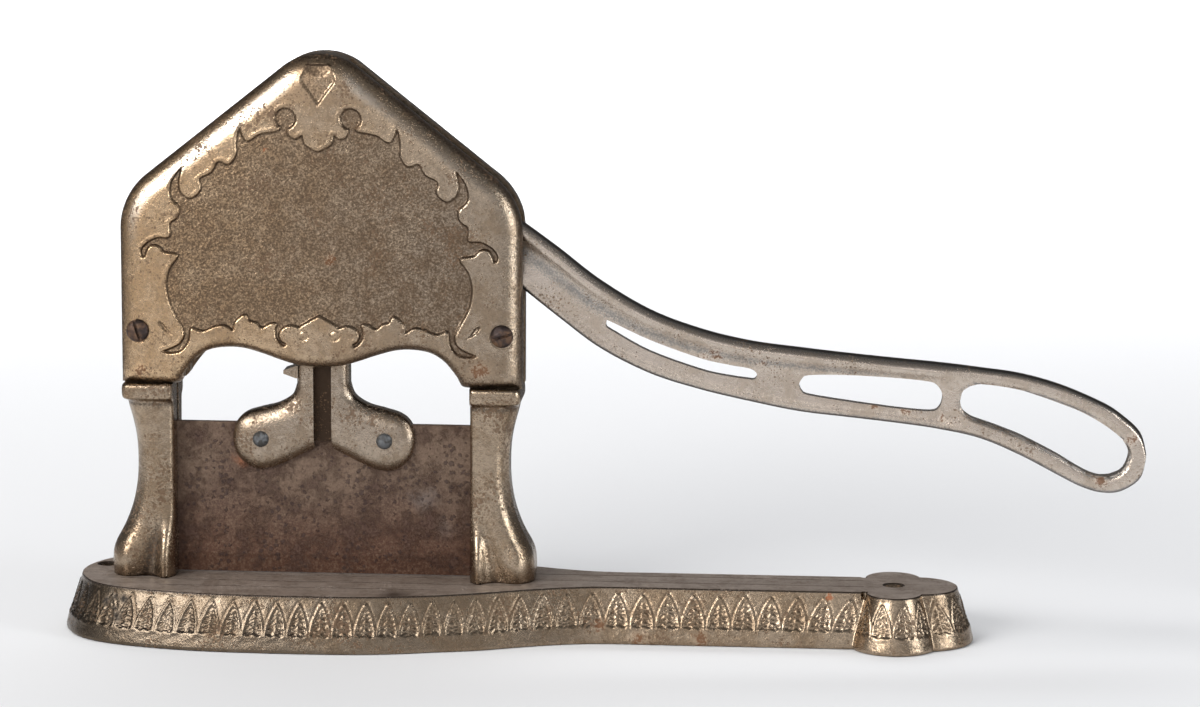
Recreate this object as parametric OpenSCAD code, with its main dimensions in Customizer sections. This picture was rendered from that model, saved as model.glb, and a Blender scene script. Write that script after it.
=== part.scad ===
// Counter-top plug tobacco cutter. Millimetres. X runs along the base, handle to the right (+X),
// the decorated front faces -Y, Z is up. The origin is on the counter under the middle of the knife.

/* [Base] */
// Height of the deck above the counter
deck_height = 20; // [16:0.5:26]
// Thickness of the deck plate
deck_thickness = 3.5; // [3:0.25:5]
// Wall thickness of the skirt
skirt_wall = 4; // [3:0.5:5]
// How far the skirt flares outward from deck to counter
skirt_flare = 6; // [3:0.5:8]
// Distance from the knife to the left tip of the deck
base_left = 90.5; // [86:0.5:96]
// Half width of the deck at its widest
base_half_width = 37.5; // [34:0.5:44]
// Half width of the narrow tongue
tongue_half_width = 12.5; // [11:0.5:15]
// Distance from the knife to the middle of the spade end
spade_x = 210; // [202:1:230]
// Radius of each side lobe of the spade end at deck level
lobe_radius = 10.2; // [9:0.2:12]
// Radius of the two counter screw holes
counter_hole_radius = 2.8; // [2.2:0.1:3.4]
// Radius of the countersink at the deck
countersink_radius = 4.2; // [4:0.1:5]
// Distance of the left counter screw hole from the left tip of the deck
left_hole_inset = 7.5; // [7.5:0.5:10]
// Distance of the left counter screw hole behind the centre line
left_hole_y = 9; // [6:0.5:10]

/* [Legs] */
// Clear width between the legs
opening_width = 109; // [100:1:120]
// Width of a leg where it carries the housing
leg_width = 19; // [18:0.5:22]
// Height of the housing's lower corners above the counter
housing_bottom = 92; // [88:1:100]
// Depth of a leg at its neck
leg_depth = 21; // [19:0.5:24]
// Height of the guide posts above the legs
post_height = 30; // [29:0.5:31]

/* [Housing] */
// Depth of the housing from front to back
housing_depth = 28; // [27:0.5:32]
// Height of the straight sides up to the sharp roof corner
side_height = 69; // [68:0.5:74]
// Slope of the roof in degrees
roof_angle = 38.4; // [37:0.2:42]
// Wall thickness of the covers
cover_wall = 3.2; // [2.8:0.2:3.6]
// Width of the slot between the covers that the lever swings in
lever_slot = 10; // [10:0.2:11]

/* [Knife] */
// Thickness of the blade
blade_thickness = 2.4; // [1.8:0.2:3]
// Height of the blade
blade_height = 56.4; // [54:0.2:58]
// Depth of the blade slot in each leg
blade_slot_depth = 5; // [4:0.5:6]
// Thickness of the knife carrier
carrier_thickness = 12; // [11:0.5:12.5]
// Half width of the carrier's stem
stem_half_width = 9.7; // [9.2:0.1:10]
// Radius of the rivets
rivet_radius = 2.2; // [1.8:0.1:2.6]

/* [Lever] */
// Gear module of rack and sector
gear_module = 2; // [2:0.05:2.1]
// Number of teeth a full wheel of the sector's size would have
wheel_teeth = 46; // [46:1:46]
// Thickness of the lever at hub, arm and flange
lever_thickness = 9; // [8:0.2:9.2]
// Thickness of the handle's web
web_thickness = 4; // [3:0.5:5]
// Radius of the lever's hub
hub_radius = 9; // [8:0.5:9.5]
// Radius of the pin the lever turns on
pin_radius = 3.5; // [3:0.1:4]
// Length of the handle outside the housing
handle_length = 227; // [215:1:240]

/* [Screws] */
// Radius of the cover screws' heads
cover_head_radius = 4.2; // [3.8:0.1:4.6]
// Radius of the cover screws' shanks
cover_shank_radius = 2.3; // [2:0.1:2.6]
// Radius of the foot screws' shanks
foot_shank_radius = 2.5; // [2.2:0.1:2.8]

/* [Fits] */
// Radial gap of the lever on its pin
running_gap = 0.08; // [0.05:0.01:0.1]
// Radial gap of screws and rivets in their holes
screw_gap = 0.1; // [0.05:0.05:0.2]
// Gap on each side of the blade in the legs' slots
slide_gap = 0.4; // [0.3:0.05:0.6]
// Gap between the housing and the tops of the legs
seat_gap = 0.3; // [0.2:0.05:0.5]
// Gap between the knife's edge and the deck, and on the lever's cheeks
rest_gap = 0.3; // [0.2:0.05:0.5]

/* [Hidden] */
$fn = 48;
opening_half = opening_width/2;
half_w = opening_half + leg_width;
cover_z = housing_bottom + seat_gap;
corner_z = housing_bottom + side_height;
apex_z = corner_z + half_w*tan(roof_angle);
apex_round = 22;
corner_round = 26;
slot_half = lever_slot/2;
depth_half = housing_depth/2;
post_top = housing_bottom + post_height;
cover_screw_x = half_w - 7;
cover_screw_z = housing_bottom + 20;
foot_screw_x = opening_half + 11.5;
blade_bottom = deck_height + rest_gap;
left_hole_x = base_left - left_hole_inset;
blade_top = blade_bottom + blade_height;
blade_half = opening_half + blade_slot_depth - slide_gap - 0.6;
pitch_r = gear_module*wheel_teeth/2;
tooth_pitch = PI*gear_module;
rack_x = -stem_half_width - 0.3 - 1.25*gear_module;
pivot_x = rack_x - pitch_r;
pivot_z = housing_bottom + 45;
carrier_top = pivot_z + tooth_pitch + 0.1;
carrier_half = carrier_thickness/2;
rivet_x = 22.8;
rivet_z = blade_top - 5.4;
groove_half = 3.3;
groove_floor = 3.5;
lever_half = lever_thickness/2;
exit_x = half_w;
exit_z = housing_bottom + 60;

function ring_points(p, y) = [for (i = [len(p) - 1:-1:0]) [p[i][0], y, p[i][1]]];
function catmull(a, b, c, d, t) =
    0.5*(2*b + (c - a)*t + (2*a - 5*b + 4*c - d)*t*t + (3*b - a - 3*c + d)*t*t*t);
function curve(p, k) = concat(
    [for (i = [0:len(p) - 2]) for (j = [0:k - 1])
        catmull(p[max(i - 1, 0)], p[i], p[i + 1], p[min(i + 2, len(p) - 1)], j/k)],
    [p[len(p) - 1]]);
function backward(p) = [for (i = [len(p) - 1:-1:0]) p[i]];
function unit(v) = v/max(norm(v), 0.0001);
function inward(p, i) = let (n = len(p),
    e = unit(p[i] - p[(i + n - 1)%n]) + unit(p[(i + 1)%n] - p[i]), u = unit(e)) [-u[1], u[0]];

// A solid from equal rings of points, the first ring lowest along the ring order.
module loft(rings) {
    n = len(rings[0]);
    m = len(rings);
    pts = [for (r = rings) for (q = r) q];
    sides = [for (k = [0:m - 2]) for (i = [0:n - 1]) let (j = (i + 1)%n, a = k*n, b = (k + 1)*n)
        each [[a + i, b + i, a + j], [a + j, b + i, b + j]]];
    polyhedron(points = pts, faces = concat(
        [[for (i = [0:n - 1]) i]], sides, [[for (i = [n - 1:-1:0]) (m - 1)*n + i]]), convexity = 6);
}

// A closed band from equal rings: each ring joins the next and the last joins the first.
module band(rings) {
    n = len(rings[0]);
    m = len(rings);
    pts = [for (r = rings) for (q = r) q];
    polyhedron(points = pts, faces = [for (k = [0:m - 1]) for (i = [0:n - 1])
        let (j = (i + 1)%n, a = k*n, b = ((k + 1)%m)*n)
        each [[a + i, b + i, a + j], [a + j, b + i, b + j]]], convexity = 6);
}

// A flat shape drawn in X and Z, as thick as from y0 to y1.
module slab(y0, y1) {
    translate([0, y1, 0]) rotate([90, 0, 0]) linear_extrude(y1 - y0) children();
}

// A round bar along Y.
module bar(x, z, r, y0, y1) {
    translate([x, y0, z]) rotate([-90, 0, 0]) cylinder(r = r, h = y1 - y0);
}

// Where two circles cross, on the side away from the centre line.
function crossing(c1, r1, c2, r2) = let (d = norm(c2 - c1), u = (c2 - c1)/d,
    k = (r1*r1 - r2*r2 + d*d)/(2*d)) c1 + k*u + sqrt(r1*r1 - k*k)*[-u[1], u[0]];
function heading(c, q) = atan2(q[1] - c[1], q[0] - c[0]);

// Outline of the base, grown outward: left end, wide part, tongue, side lobes and tip lobe, one side.
function base_side(grow) = let (w = base_half_width + grow, t = tongue_half_width + grow, l = base_left + grow,
    c1 = [spade_x, lobe_radius + 1.8], r1 = lobe_radius + grow, c2 = [spade_x + 9.5, 0], r2 = 14 + grow,
    root = min(180, 180 - asin((t - c1[1])/r1)), q = crossing(c1, r1, c2, r2),
    cleft = heading(c1, q), tip = heading(c2, q))
    concat(curve([[-l, 0], [-l*0.977, w*0.29], [-l*0.904, w*0.575], [-l*0.79, w*0.755], [-l*0.62, w*0.885],
        [-l*0.4, w*0.972], [-l*0.113, w], [14, w*0.987], [30, w*0.933], [45, w*0.84],
        [60, t + (w - t)*0.56], [78, t + (w - t)*0.26], [92, t + (w - t)*0.08], [105, t],
        [125, t], [160, t]], 3),
        arc_points(c1, r1, root, cleft, 10),
        [for (i = [1:6]) c2 + r2*[cos(tip*(1 - i/6)), sin(tip*(1 - i/6))]]);
function base_outline(grow, z) = let (s = base_side(grow), n = len(s))
    [for (q = concat(backward(s), [for (i = [1:n - 2]) [s[i][0], -s[i][1]]])) [q[0], q[1], z]];

// The hollow casting: a flared skirt with the deck plate on top.
module skirt_body() {
    under = deck_height - deck_thickness;
    low = skirt_flare - skirt_wall;
    band([base_outline(-skirt_wall, under), base_outline(low, 0), base_outline(skirt_flare, 0), base_outline(0, under)]);
    translate([0, 0, under]) linear_extrude(deck_thickness) polygon([for (q = base_outline(0, 0)) [q[0], q[1]]]);
}

module base_casting() {
    under = deck_height - deck_thickness;
    color([0.62, 0.57, 0.5]) difference() {
        union() {
            skirt_body();
            translate([-opening_half - 3, -3, 0]) cube([2*opening_half + 6, 6, under + 1]);
            translate([spade_x, 0, 0]) cylinder(r = 7.5, h = under + 1);
            translate([-left_hole_x, left_hole_y, 0]) cylinder(r = counter_hole_radius + 2.4, h = under + 0.3);
            for (s = [-1, 1]) translate([s*foot_screw_x, 0, 8]) cylinder(r = 7, h = under - 7);
        }
        for (h = [[spade_x, 0], [-left_hole_x, left_hole_y]]) translate([h[0], h[1], 0]) {
            translate([0, 0, -1]) cylinder(r = counter_hole_radius, h = deck_height + 2);
            translate([0, 0, deck_height - (countersink_radius - counter_hole_radius)])
                cylinder(r1 = counter_hole_radius, r2 = countersink_radius + 1,
                    h = countersink_radius - counter_hole_radius + 1);
        }
        for (s = [-1, 1]) translate([s*foot_screw_x, 0, 0])
            cylinder(r = foot_shank_radius + screw_gap, h = deck_height + 1);
    }
}

// Outer edge and half depth of a leg at each height above the deck, as parts of its own height.
function leg_ring(z, xo, d, xi) = let (r = min(4, d*0.4), m = xi + 0.4,
    a = [[m, -d + 1.5], [m + 1.2, -d], [xo - r, -d], [xo - r*0.3, -d + r*0.3], [xo, -d + r],
        [xo, d - r], [xo - r*0.3, d - r*0.3], [xo - r, d], [m + 1.2, d], [m, d - 1.5]])
    [for (q = a) [q[0], q[1], z]];

module leg() {
    h = housing_bottom - deck_height;
    w = leg_width;
    d = leg_depth/2;
    xi = opening_half - 0.4;
    difference() {
        union() {
            loft([for (q = [[0, 1.24, d + 1], [0.08, 1.25, d + 1.6], [0.16, 1.2, d + 1.4], [0.27, 0.99, d + 0.5],
                    [0.38, 0.84, d], [0.5, 0.76, d], [0.62, 0.745, d], [0.72, 0.77, d], [0.8, 0.83, d],
                    [0.87, 0.91, d + 0.3], [0.915, 0.95, d + 1.6], [0.93, 0.97, d + 2.2], [1, 0.985, d + 2.2]])
                leg_ring(deck_height + q[0]*h, opening_half + q[1]*w, q[2], xi)]);
            translate([opening_half, -slot_half, housing_bottom - 1])
                cube([w - 0.3, lever_slot, post_height + 1]);
        }
        translate([opening_half - 2, -blade_thickness/2 - slide_gap, deck_height - 1])
            cube([blade_slot_depth + 2, blade_thickness + 2*slide_gap, post_top - deck_height + 2]);
        bar(cover_screw_x, cover_screw_z, cover_shank_radius + screw_gap, -slot_half - 1, slot_half + 1);
        translate([foot_screw_x, 0, deck_height - 1]) cylinder(r = foot_shank_radius + screw_gap, h = 17);
    }
}

module right_leg() { color([0.66, 0.62, 0.55]) leg(); }
module left_leg() { color([0.66, 0.62, 0.55]) mirror([1, 0, 0]) leg(); }

// Gable outline of the covers, going round to the left from the apex, and its lower edge.
function arc_points(c, r, a0, a1, n) = [for (i = [0:n]) let (a = a0 + (a1 - a0)*i/n) c + r*[cos(a), sin(a)]];
function lower_edge() = let (k = opening_half/54.5, b = cover_z)
    [[half_w, b], [(half_w + opening_half)/2, b], [opening_half - 1.5, b], [50.5*k, b + 2.3], [48*k, b + 5.7],
     [44.5*k, b + 9.6], [40*k, b + 12.2], [34*k, b + 13.2], [28*k, b + 12.9], [21*k, b + 11], [15*k, b + 8.9],
     [8*k, b + 6.9], [0, b + 6.2]];
function gable_half() = let (t = tan(45 - roof_angle/2)) concat(
    arc_points([0, apex_z - apex_round/cos(roof_angle)], apex_round, 90, 90 + roof_angle, 6),
    arc_points([-half_w + corner_round, corner_z - corner_round*t], corner_round, 90 + roof_angle, 180, 6),
    [[-half_w, corner_z - 30], [-half_w, housing_bottom + 26], [-half_w, housing_bottom + 12]],
    [for (q = curve([for (v = lower_edge()) [-v[0], v[1]]], 2)) q]);
function gable() = let (g = gable_half())
    concat(g, [for (i = [len(g) - 2:-1:1]) [-g[i][0], g[i][1]]]);
function gable_inset(d, low) = let (g = gable())
    [for (i = [0:len(g) - 1]) let (n = inward(g, i), s = g[i][1] < housing_bottom + 16 && abs(g[i][0]) < half_w - 0.1
        ? low : d) g[i] + n*s];

// One cover, drawn on the back side: a dished plate with a rounded edge, hollow towards the lever.
module cover_shell(round_out) {
    w = cover_wall;
    f = depth_half;
    r = round_out;
    difference() {
        loft([for (q = [[slot_half, 0, 0], [f - 6*r - 0.4, 0, 0], [f - 3.5*r, 0.8*r, 0.4*r],
                [f - 1.7*r, 2.5*r, 1.2*r], [f - 0.6*r, 5*r, 2.3*r], [f, 8.5*r, 3.9*r]])
            ring_points(gable_inset(q[1], q[2]), q[0])]);
        slab(slot_half - 1, f - w) polygon(gable_inset(w + 2.4*r, w + 0.5));
        translate([-opening_half + 4, slot_half - 1, cover_z - 5])
            cube([opening_width - 8, f - w - slot_half + 1, 27]);
    }
    for (s = [-1, 1]) bar(s*cover_screw_x, cover_screw_z, 5.6, slot_half, f - 0.6*w);
    bar(pivot_x, pivot_z, 6.5, lever_half + rest_gap, f - 0.6*w);
    translate([-groove_half + rest_gap, groove_floor - 1 + rest_gap, cover_z + 12])
        cube([2*(groove_half - rest_gap), f - w - groove_floor + 1.6, 16]);
}

module front_cover() {
    color([0.7, 0.65, 0.56]) difference() {
        mirror([0, 1, 0]) cover_shell(1);
        for (s = [-1, 1]) {
            bar(s*cover_screw_x, cover_screw_z, cover_shank_radius + screw_gap, -depth_half - 1, 0);
            bar(s*cover_screw_x, cover_screw_z, cover_head_radius + 0.4, -depth_half - 1, -depth_half + 1.2);
        }
        bar(pivot_x, pivot_z, pin_radius + screw_gap, -depth_half + cover_wall, 0);
    }
}

module back_cover() {
    color([0.5, 0.46, 0.4]) difference() {
        union() {
            cover_shell(0.55);
            intersection() {
                slab(-slot_half, slot_half + 0.5) difference() {
                    polygon(gable());
                    polygon(gable_inset(cover_wall, cover_wall));
                }
                slab(-slot_half, slot_half + 0.5) polygon([[-half_w - 5, post_top + rest_gap],
                    [-half_w - 5, apex_z + 5], [10, apex_z + 5], [10, corner_z + 20], [-half_w + 12, post_top + rest_gap]]);
            }
        }
        for (s = [-1, 1])
            bar(s*cover_screw_x, cover_screw_z, cover_shank_radius + screw_gap, 0, depth_half - 2.5);
        bar(pivot_x, pivot_z, pin_radius + screw_gap, 0, depth_half - cover_wall);
    }
}

module cover_screw(s) {
    color([0.3, 0.22, 0.16]) difference() {
        union() {
            bar(s*cover_screw_x, cover_screw_z, cover_head_radius, -depth_half - 0.6, -depth_half + 1.2);
            bar(s*cover_screw_x, cover_screw_z, cover_shank_radius, -depth_half + 1, depth_half - 2.8);
        }
        translate([s*cover_screw_x, -depth_half - 0.6, cover_screw_z]) rotate([0, s < 0 ? 75 : 8, 0])
            cube([2*cover_head_radius + 2, 1.8, 1.1], center = true);
    }
}
module cover_screw_left() { cover_screw(-1); }
module cover_screw_right() { cover_screw(1); }

module foot_screw(s) {
    color([0.35, 0.32, 0.3]) translate([s*foot_screw_x, 0, 0]) difference() {
        union() {
            translate([0, 0, 4.8]) cylinder(r = 4.5, h = 3.2);
            translate([0, 0, 7]) cylinder(r = foot_shank_radius, h = deck_height + 15 - 7);
        }
        translate([-6, -0.6, 4.8 - 1]) cube([12, 1.2, 2.4]);
    }
}
module foot_screw_left() { foot_screw(-1); }
module foot_screw_right() { foot_screw(1); }

module pivot_pin() {
    color([0.45, 0.43, 0.4])
        bar(pivot_x, pivot_z, pin_radius, -depth_half + cover_wall + 0.3, depth_half - cover_wall - 0.3);
}

// Half the tooth's angle at a radius, an involute of 20 degrees with backlash.
function inv_deg(a) = tan(a)*180/PI - a;
tooth_thick = 0.215*tooth_pitch;
function tooth_angle(r) = tooth_thick/pitch_r*180/PI + inv_deg(20) - inv_deg(acos(pitch_r*cos(20)/r));
function sector_tooth(a) = let (rs = [for (k = [0:4]) pitch_r - 1.22*gear_module + k*2.22*gear_module/4])
    concat([[(pitch_r - 1.6*gear_module)*cos(a - 3), (pitch_r - 1.6*gear_module)*sin(a - 3)]],
        [for (r = rs) r*[cos(a - tooth_angle(r)), sin(a - tooth_angle(r))]],
        [for (r = backward(rs)) r*[cos(a + tooth_angle(r)), sin(a + tooth_angle(r))]],
        [[(pitch_r - 1.6*gear_module)*cos(a + 3), (pitch_r - 1.6*gear_module)*sin(a + 3)]]);

// Handle points: along the handle from the housing, and above the lever's exit height.
function handle_point(u, v) = [exit_x + u*handle_length/227, exit_z + v];
upper_edge = [for (q = [[0, 0.3], [13, -9], [27.7, -20.2], [46, -30.9], [64.3, -37.6], [82.5, -41.8], [100.7, -44],
    [119, -45.9], [137, -47.5], [151.5, -48.7], [166, -50.3], [180.5, -52.2], [195, -56], [209.7, -62],
    [217, -66.3], [224.5, -73.2], [227, -81.5]]) handle_point(q[0], q[1])];
lower_edge_handle = [for (q = [[0, -24.5], [13.2, -34.8], [28, -45.6], [46.2, -54.6], [64.5, -60.2], [82.8, -64.3],
    [101, -67.7], [119.4, -69.6], [137.6, -71.5], [152, -73.4], [166.7, -76.5], [181.4, -82.5], [196, -90],
    [203.4, -93.6], [210.7, -95.7], [218, -95.2], [225, -90.2], [227, -81.5]]) handle_point(q[0], q[1])];
arm_top = [[pivot_x + 4, pivot_z + 8.9], [pivot_x + 26, pivot_z + 16], [-4, pivot_z + 19.3], [20, pivot_z + 19.4],
    [exit_x - 35.5, pivot_z + 18.8], [exit_x - 21, pivot_z + 19.4], [exit_x - 11, pivot_z + 19.6],
    [exit_x - 4.5, pivot_z + 18]];
arm_low = [[exit_x - 6, pivot_z - 5.5], [exit_x - 12, pivot_z - 2], [exit_x - 24, pivot_z + 2.5],
    [exit_x - 40, pivot_z + 5.8], [stem_half_width + 5, carrier_top + 1.5], [rack_x - 3, carrier_top + 1.5]];
slot_one = [for (q = [[30.4, -35], [33, -36], [46.1, -42], [64.4, -48.4], [75, -50.7], [82, -51.8], [84.6, -53],
    [85.3, -54.6], [84.3, -56], [82, -55.9], [75, -55], [64.5, -52.8], [46.1, -46.4], [33, -39.3], [30.2, -37.3]])
    handle_point(q[0], q[1])];
slot_two = [for (q = [[100.6, -57.7], [101.6, -55.5], [104.5, -54], [119.1, -53.7], [137.2, -54.5], [147.5, -55.5],
    [150.5, -56.7], [152.4, -59.5], [152.6, -62.5], [151.4, -65.3], [148.5, -66.6], [137.5, -65.9], [119.3, -63.7],
    [104.5, -61.5], [101.6, -60]]) handle_point(q[0], q[1])];
loop_hole = [for (q = [[159.1, -62.6], [160, -59], [162.6, -57], [166.2, -56.2], [173.5, -56.8], [180.7, -58.1],
    [188, -60.2], [195.3, -62.7], [202.6, -65.5], [209.9, -69.4], [217, -74.6], [220, -79], [220.4, -82.5],
    [217.7, -87.6], [210.5, -89.6], [203.2, -86.9], [195.9, -82.6], [188.5, -78.7], [181.2, -75.1],
    [173.9, -72.3], [166.6, -69.8], [162.9, -68.4], [160, -66]]) handle_point(q[0], q[1])];

module lever() {
    top = concat(curve(arm_top, 3), curve(upper_edge, 3));
    low = concat(curve(lower_edge_handle, 3));
    whole = concat(top, backward(low), curve(arm_low, 3), [[pivot_x + 20, pivot_z + 4], [pivot_x, pivot_z - 5]]);
    up = curve(upper_edge, 3);
    nu = 28;
    nl = 31;
    flange = concat([for (i = [0:nu]) up[i]], [for (i = [nu:-1:0]) up[i] - [1.2, 4.4]]);
    bead = concat([for (i = [0:nl - 3]) low[i]], [for (i = [nl - 3:-1:0]) low[i] + [0.5, 2.4]]);
    inner = concat(curve(arm_top, 3), [up[0], up[1], up[1] - [6, 8], low[2] + [-4, 7], low[1], low[0]],
        curve(arm_low, 3), [[pivot_x + 20, pivot_z + 4], [pivot_x, pivot_z - 5]]);
    rim = concat([for (i = [27:len(up) - 1]) up[i]], [for (i = [len(low) - 2:-1:28]) low[i]]);
    color([0.66, 0.61, 0.55]) difference() {
        union() {
            slab(-web_thickness/2, web_thickness/2) polygon(whole);
            slab(-lever_half, lever_half) polygon(flange);
            slab(-lever_half*0.72, lever_half*0.72) polygon(bead);
            slab(-lever_half, lever_half) polygon(inner);
            slab(-lever_half*0.86, lever_half*0.86) polygon(rim);
            bar(pivot_x, pivot_z, hub_radius, -lever_half, lever_half);
            translate([pivot_x, 0, pivot_z]) slab(-lever_half, lever_half) {
                polygon(concat([[0, 4]], arc_points([0, 0], pitch_r - 1.22*gear_module, -42, 11, 18), [[4, 8]]));
                for (i = [-5:1]) polygon(sector_tooth(i*360/wheel_teeth));
            }
        }
        bar(pivot_x, pivot_z, pin_radius + running_gap, -lever_half - 1, lever_half + 1);
        slab(-lever_half, lever_half) polygon(slot_one);
        slab(-lever_half, lever_half) polygon(slot_two);
        slab(-lever_half - 1, lever_half + 1) polygon(curve(concat(loop_hole, [loop_hole[0]]), 2));
        translate([pivot_x, 0, pivot_z]) for (s = [-1, 1])
            slab(s < 0 ? -lever_half - 1 : lever_half - 2, s < 0 ? -lever_half + 2 : lever_half + 1)
                polygon(concat(arc_points([0, 0], 14, -36, 2, 8), arc_points([0, 0], pitch_r - 9, 2, -36, 8)));
    }
}

// Outline of the knife carrier's right half, from the top of the stem round the ear to the middle.
function ear_edge() = let (c = blade_top - 76.7, w = stem_half_width)
    concat([[w, carrier_top], [w, c + 93]],
        curve([[w, c + 92], [w + 1.8, c + 87.5], [16.5, c + 84.2], [23, c + 82.4], [28.5, c + 80.6], [32, c + 77.5],
            [33.6, c + 72.5], [33, c + 67], [30.2, c + 62.5], [25, c + 59.6], [18, c + 60.5], [9, c + 64.8],
            [groove_half + 0.3, c + 67.5]], 3));

module knife_carrier() {
    e = ear_edge();
    g = gear_module;
    half = tooth_thick;
    color([0.64, 0.6, 0.54]) difference() {
        union() {
            slab(-carrier_half, carrier_half)
                polygon(concat(e, [for (q = backward(e)) [-q[0], q[1]]]));
            slab(-lever_half, lever_half) for (i = [-6:1]) translate([rack_x, pivot_z + (i - 0.5)*tooth_pitch])
                polygon([[1.25*g + 0.5, -half - 0.455*g], [1.25*g, -half - 0.455*g], [-g, -half + 0.364*g],
                    [-g, half - 0.364*g], [1.25*g, half + 0.455*g], [1.25*g + 0.5, half + 0.455*g]]);
        }
        translate([-40, -blade_thickness/2 - 0.05, 0]) cube([80, blade_thickness + 0.1, blade_top + 0.05]);
        for (s = [-1, 1]) {
            translate([-groove_half, s < 0 ? -carrier_half - 1 : groove_floor - 1, blade_top - 5])
                cube([2*groove_half, carrier_half - groove_floor + 2, carrier_top]);
            bar(s*rivet_x, rivet_z, rivet_radius + screw_gap, -carrier_half - 1, carrier_half + 1);
        }
    }
}

module knife_blade() {
    t = blade_thickness/2;
    color([0.36, 0.25, 0.2]) difference() {
        translate([-blade_half, 0, 0]) rotate([90, 0, 90]) linear_extrude(2*blade_half)
            polygon([[-0.3, blade_bottom], [0.3, blade_bottom], [t, blade_bottom + 7], [t, blade_top],
                [-t, blade_top], [-t, blade_bottom + 7]]);
        for (s = [-1, 1]) bar(s*rivet_x, rivet_z, rivet_radius + screw_gap, -t - 1, t + 1);
    }
}

module rivet(s) {
    color([0.5, 0.5, 0.5]) {
        bar(s*rivet_x, rivet_z, rivet_radius, -carrier_half - 0.3, carrier_half + 0.3);
        for (m = [0, 1]) mirror([0, m, 0]) translate([s*rivet_x, -carrier_half, rivet_z]) rotate([90, 0, 0])
            rotate_extrude() polygon([[0, 0], [rivet_radius + 0.8, 0], [rivet_radius + 0.6, 0.5],
                [rivet_radius - 0.2, 0.95], [rivet_radius - 1.4, 1.2], [0, 1.25]]);
    }
}
module rivet_left() { rivet(-1); }
module rivet_right() { rivet(1); }

base_casting();
left_leg();
right_leg();
foot_screw_left();
foot_screw_right();
front_cover();
back_cover();
cover_screw_left();
cover_screw_right();
pivot_pin();
lever();
knife_carrier();
knife_blade();
rivet_left();
rivet_right();
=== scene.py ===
# A counter-top plug tobacco cutter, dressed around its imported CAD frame.
# Metres in the scene, millimetres while a piece is being shaped. The decorated front faces -Y.
import math

import bmesh
import bpy
import numpy as np
from mathutils import Matrix, Vector


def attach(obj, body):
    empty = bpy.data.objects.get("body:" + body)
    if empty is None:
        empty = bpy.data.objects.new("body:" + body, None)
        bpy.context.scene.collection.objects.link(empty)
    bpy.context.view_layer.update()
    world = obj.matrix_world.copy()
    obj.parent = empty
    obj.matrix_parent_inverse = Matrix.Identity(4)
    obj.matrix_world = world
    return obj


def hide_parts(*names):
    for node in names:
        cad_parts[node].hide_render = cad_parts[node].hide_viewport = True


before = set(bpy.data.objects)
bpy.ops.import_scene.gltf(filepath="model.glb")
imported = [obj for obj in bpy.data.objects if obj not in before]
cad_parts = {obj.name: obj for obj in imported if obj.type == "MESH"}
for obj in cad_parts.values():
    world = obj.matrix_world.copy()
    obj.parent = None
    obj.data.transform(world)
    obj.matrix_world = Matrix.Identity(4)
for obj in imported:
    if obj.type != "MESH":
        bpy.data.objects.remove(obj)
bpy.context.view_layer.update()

scene = bpy.context.scene

# The table is covered with pale paper and lit by a soft window at the front left, a dimmer one beside
# it, a narrow one at the right, a skylight and a wash of light behind. Only the windows and the paper
# close to the cutter shine back in the metal.
scene.view_settings.view_transform = "Standard"

view_target = Vector((0.1014, 0.0, 0.1043))
view_distance = 1.3
view_turn = math.radians(3.5)
view_rise = math.radians(9.39)
view_roll = math.radians(0.4)
photo_width = 1200
focal_pixels = 3560
film_width = 36.0
back = Vector((math.sin(view_turn)*math.cos(view_rise), -math.cos(view_turn)*math.cos(view_rise),
               math.sin(view_rise)))
level_right = (-back).cross(Vector((0, 0, 1))).normalized()
level_up = level_right.cross(-back)
right = level_right*math.cos(view_roll) + level_up*math.sin(view_roll)
up = level_up*math.cos(view_roll) - level_right*math.sin(view_roll)
view_axes = Matrix((right, up, back)).transposed().to_4x4()
lens = bpy.data.cameras.new("camera")
lens.sensor_width = film_width
lens.lens = focal_pixels*film_width/photo_width
lens.clip_start = 0.05
camera = bpy.data.objects.new("camera", lens)
camera.matrix_world = Matrix.Translation(view_target + back*view_distance) @ view_axes
scene.collection.objects.link(camera)
scene.camera = camera

paper_stock = bpy.data.materials.new("paper")
paper_stock.use_nodes = True
paper_shader = paper_stock.node_tree.nodes["Principled BSDF"]
paper_shader.inputs["Base Color"].default_value = (0.79, 0.8, 0.82, 1)
paper_shader.inputs["Roughness"].default_value = 0.9
floor_x = (-9.0, -0.5, 0.7, 9.0)
floor_y = (-9.0, -0.34, 0.3, 9.0)
floor_z = -0.0002


def paper(name, near):
    """The paper close to the cutter, or all the paper round that."""
    bm = bmesh.new()
    bmesh.ops.create_grid(bm, x_segments=3, y_segments=3, size=0.5)
    middle = [face for face in bm.faces if face.calc_center_median().length < 0.1]
    others = [face for face in bm.faces if face not in middle]
    bmesh.ops.delete(bm, geom=others if near else middle, context="FACES")
    for vert in bm.verts:
        vert.co = (floor_x[round(vert.co.x*3 + 1.5)], floor_y[round(vert.co.y*3 + 1.5)], floor_z)
    mesh = bpy.data.meshes.new(name)
    bm.to_mesh(mesh)
    bm.free()
    mesh.materials.append(paper_stock)
    sheet = bpy.data.objects.new(name, mesh)
    scene.collection.objects.link(sheet)
    sheet.visible_glossy = near


paper("paper_near", True)
paper("paper_round_it", False)


def window(name, place, size, watts, colour=(1, 1, 1), aim=(0.08, 0, 0.08)):
    """A soft rectangular light that faces its aim."""
    light = bpy.data.lights.new(name, "AREA")
    light.shape = "RECTANGLE"
    light.size, light.size_y = size
    light.energy = watts
    light.color = colour
    lamp = bpy.data.objects.new(name, light)
    lamp.location = place
    lamp.rotation_euler = (Vector(aim) - Vector(place)).to_track_quat("-Z", "Y").to_euler()
    scene.collection.objects.link(lamp)
    return lamp


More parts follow.
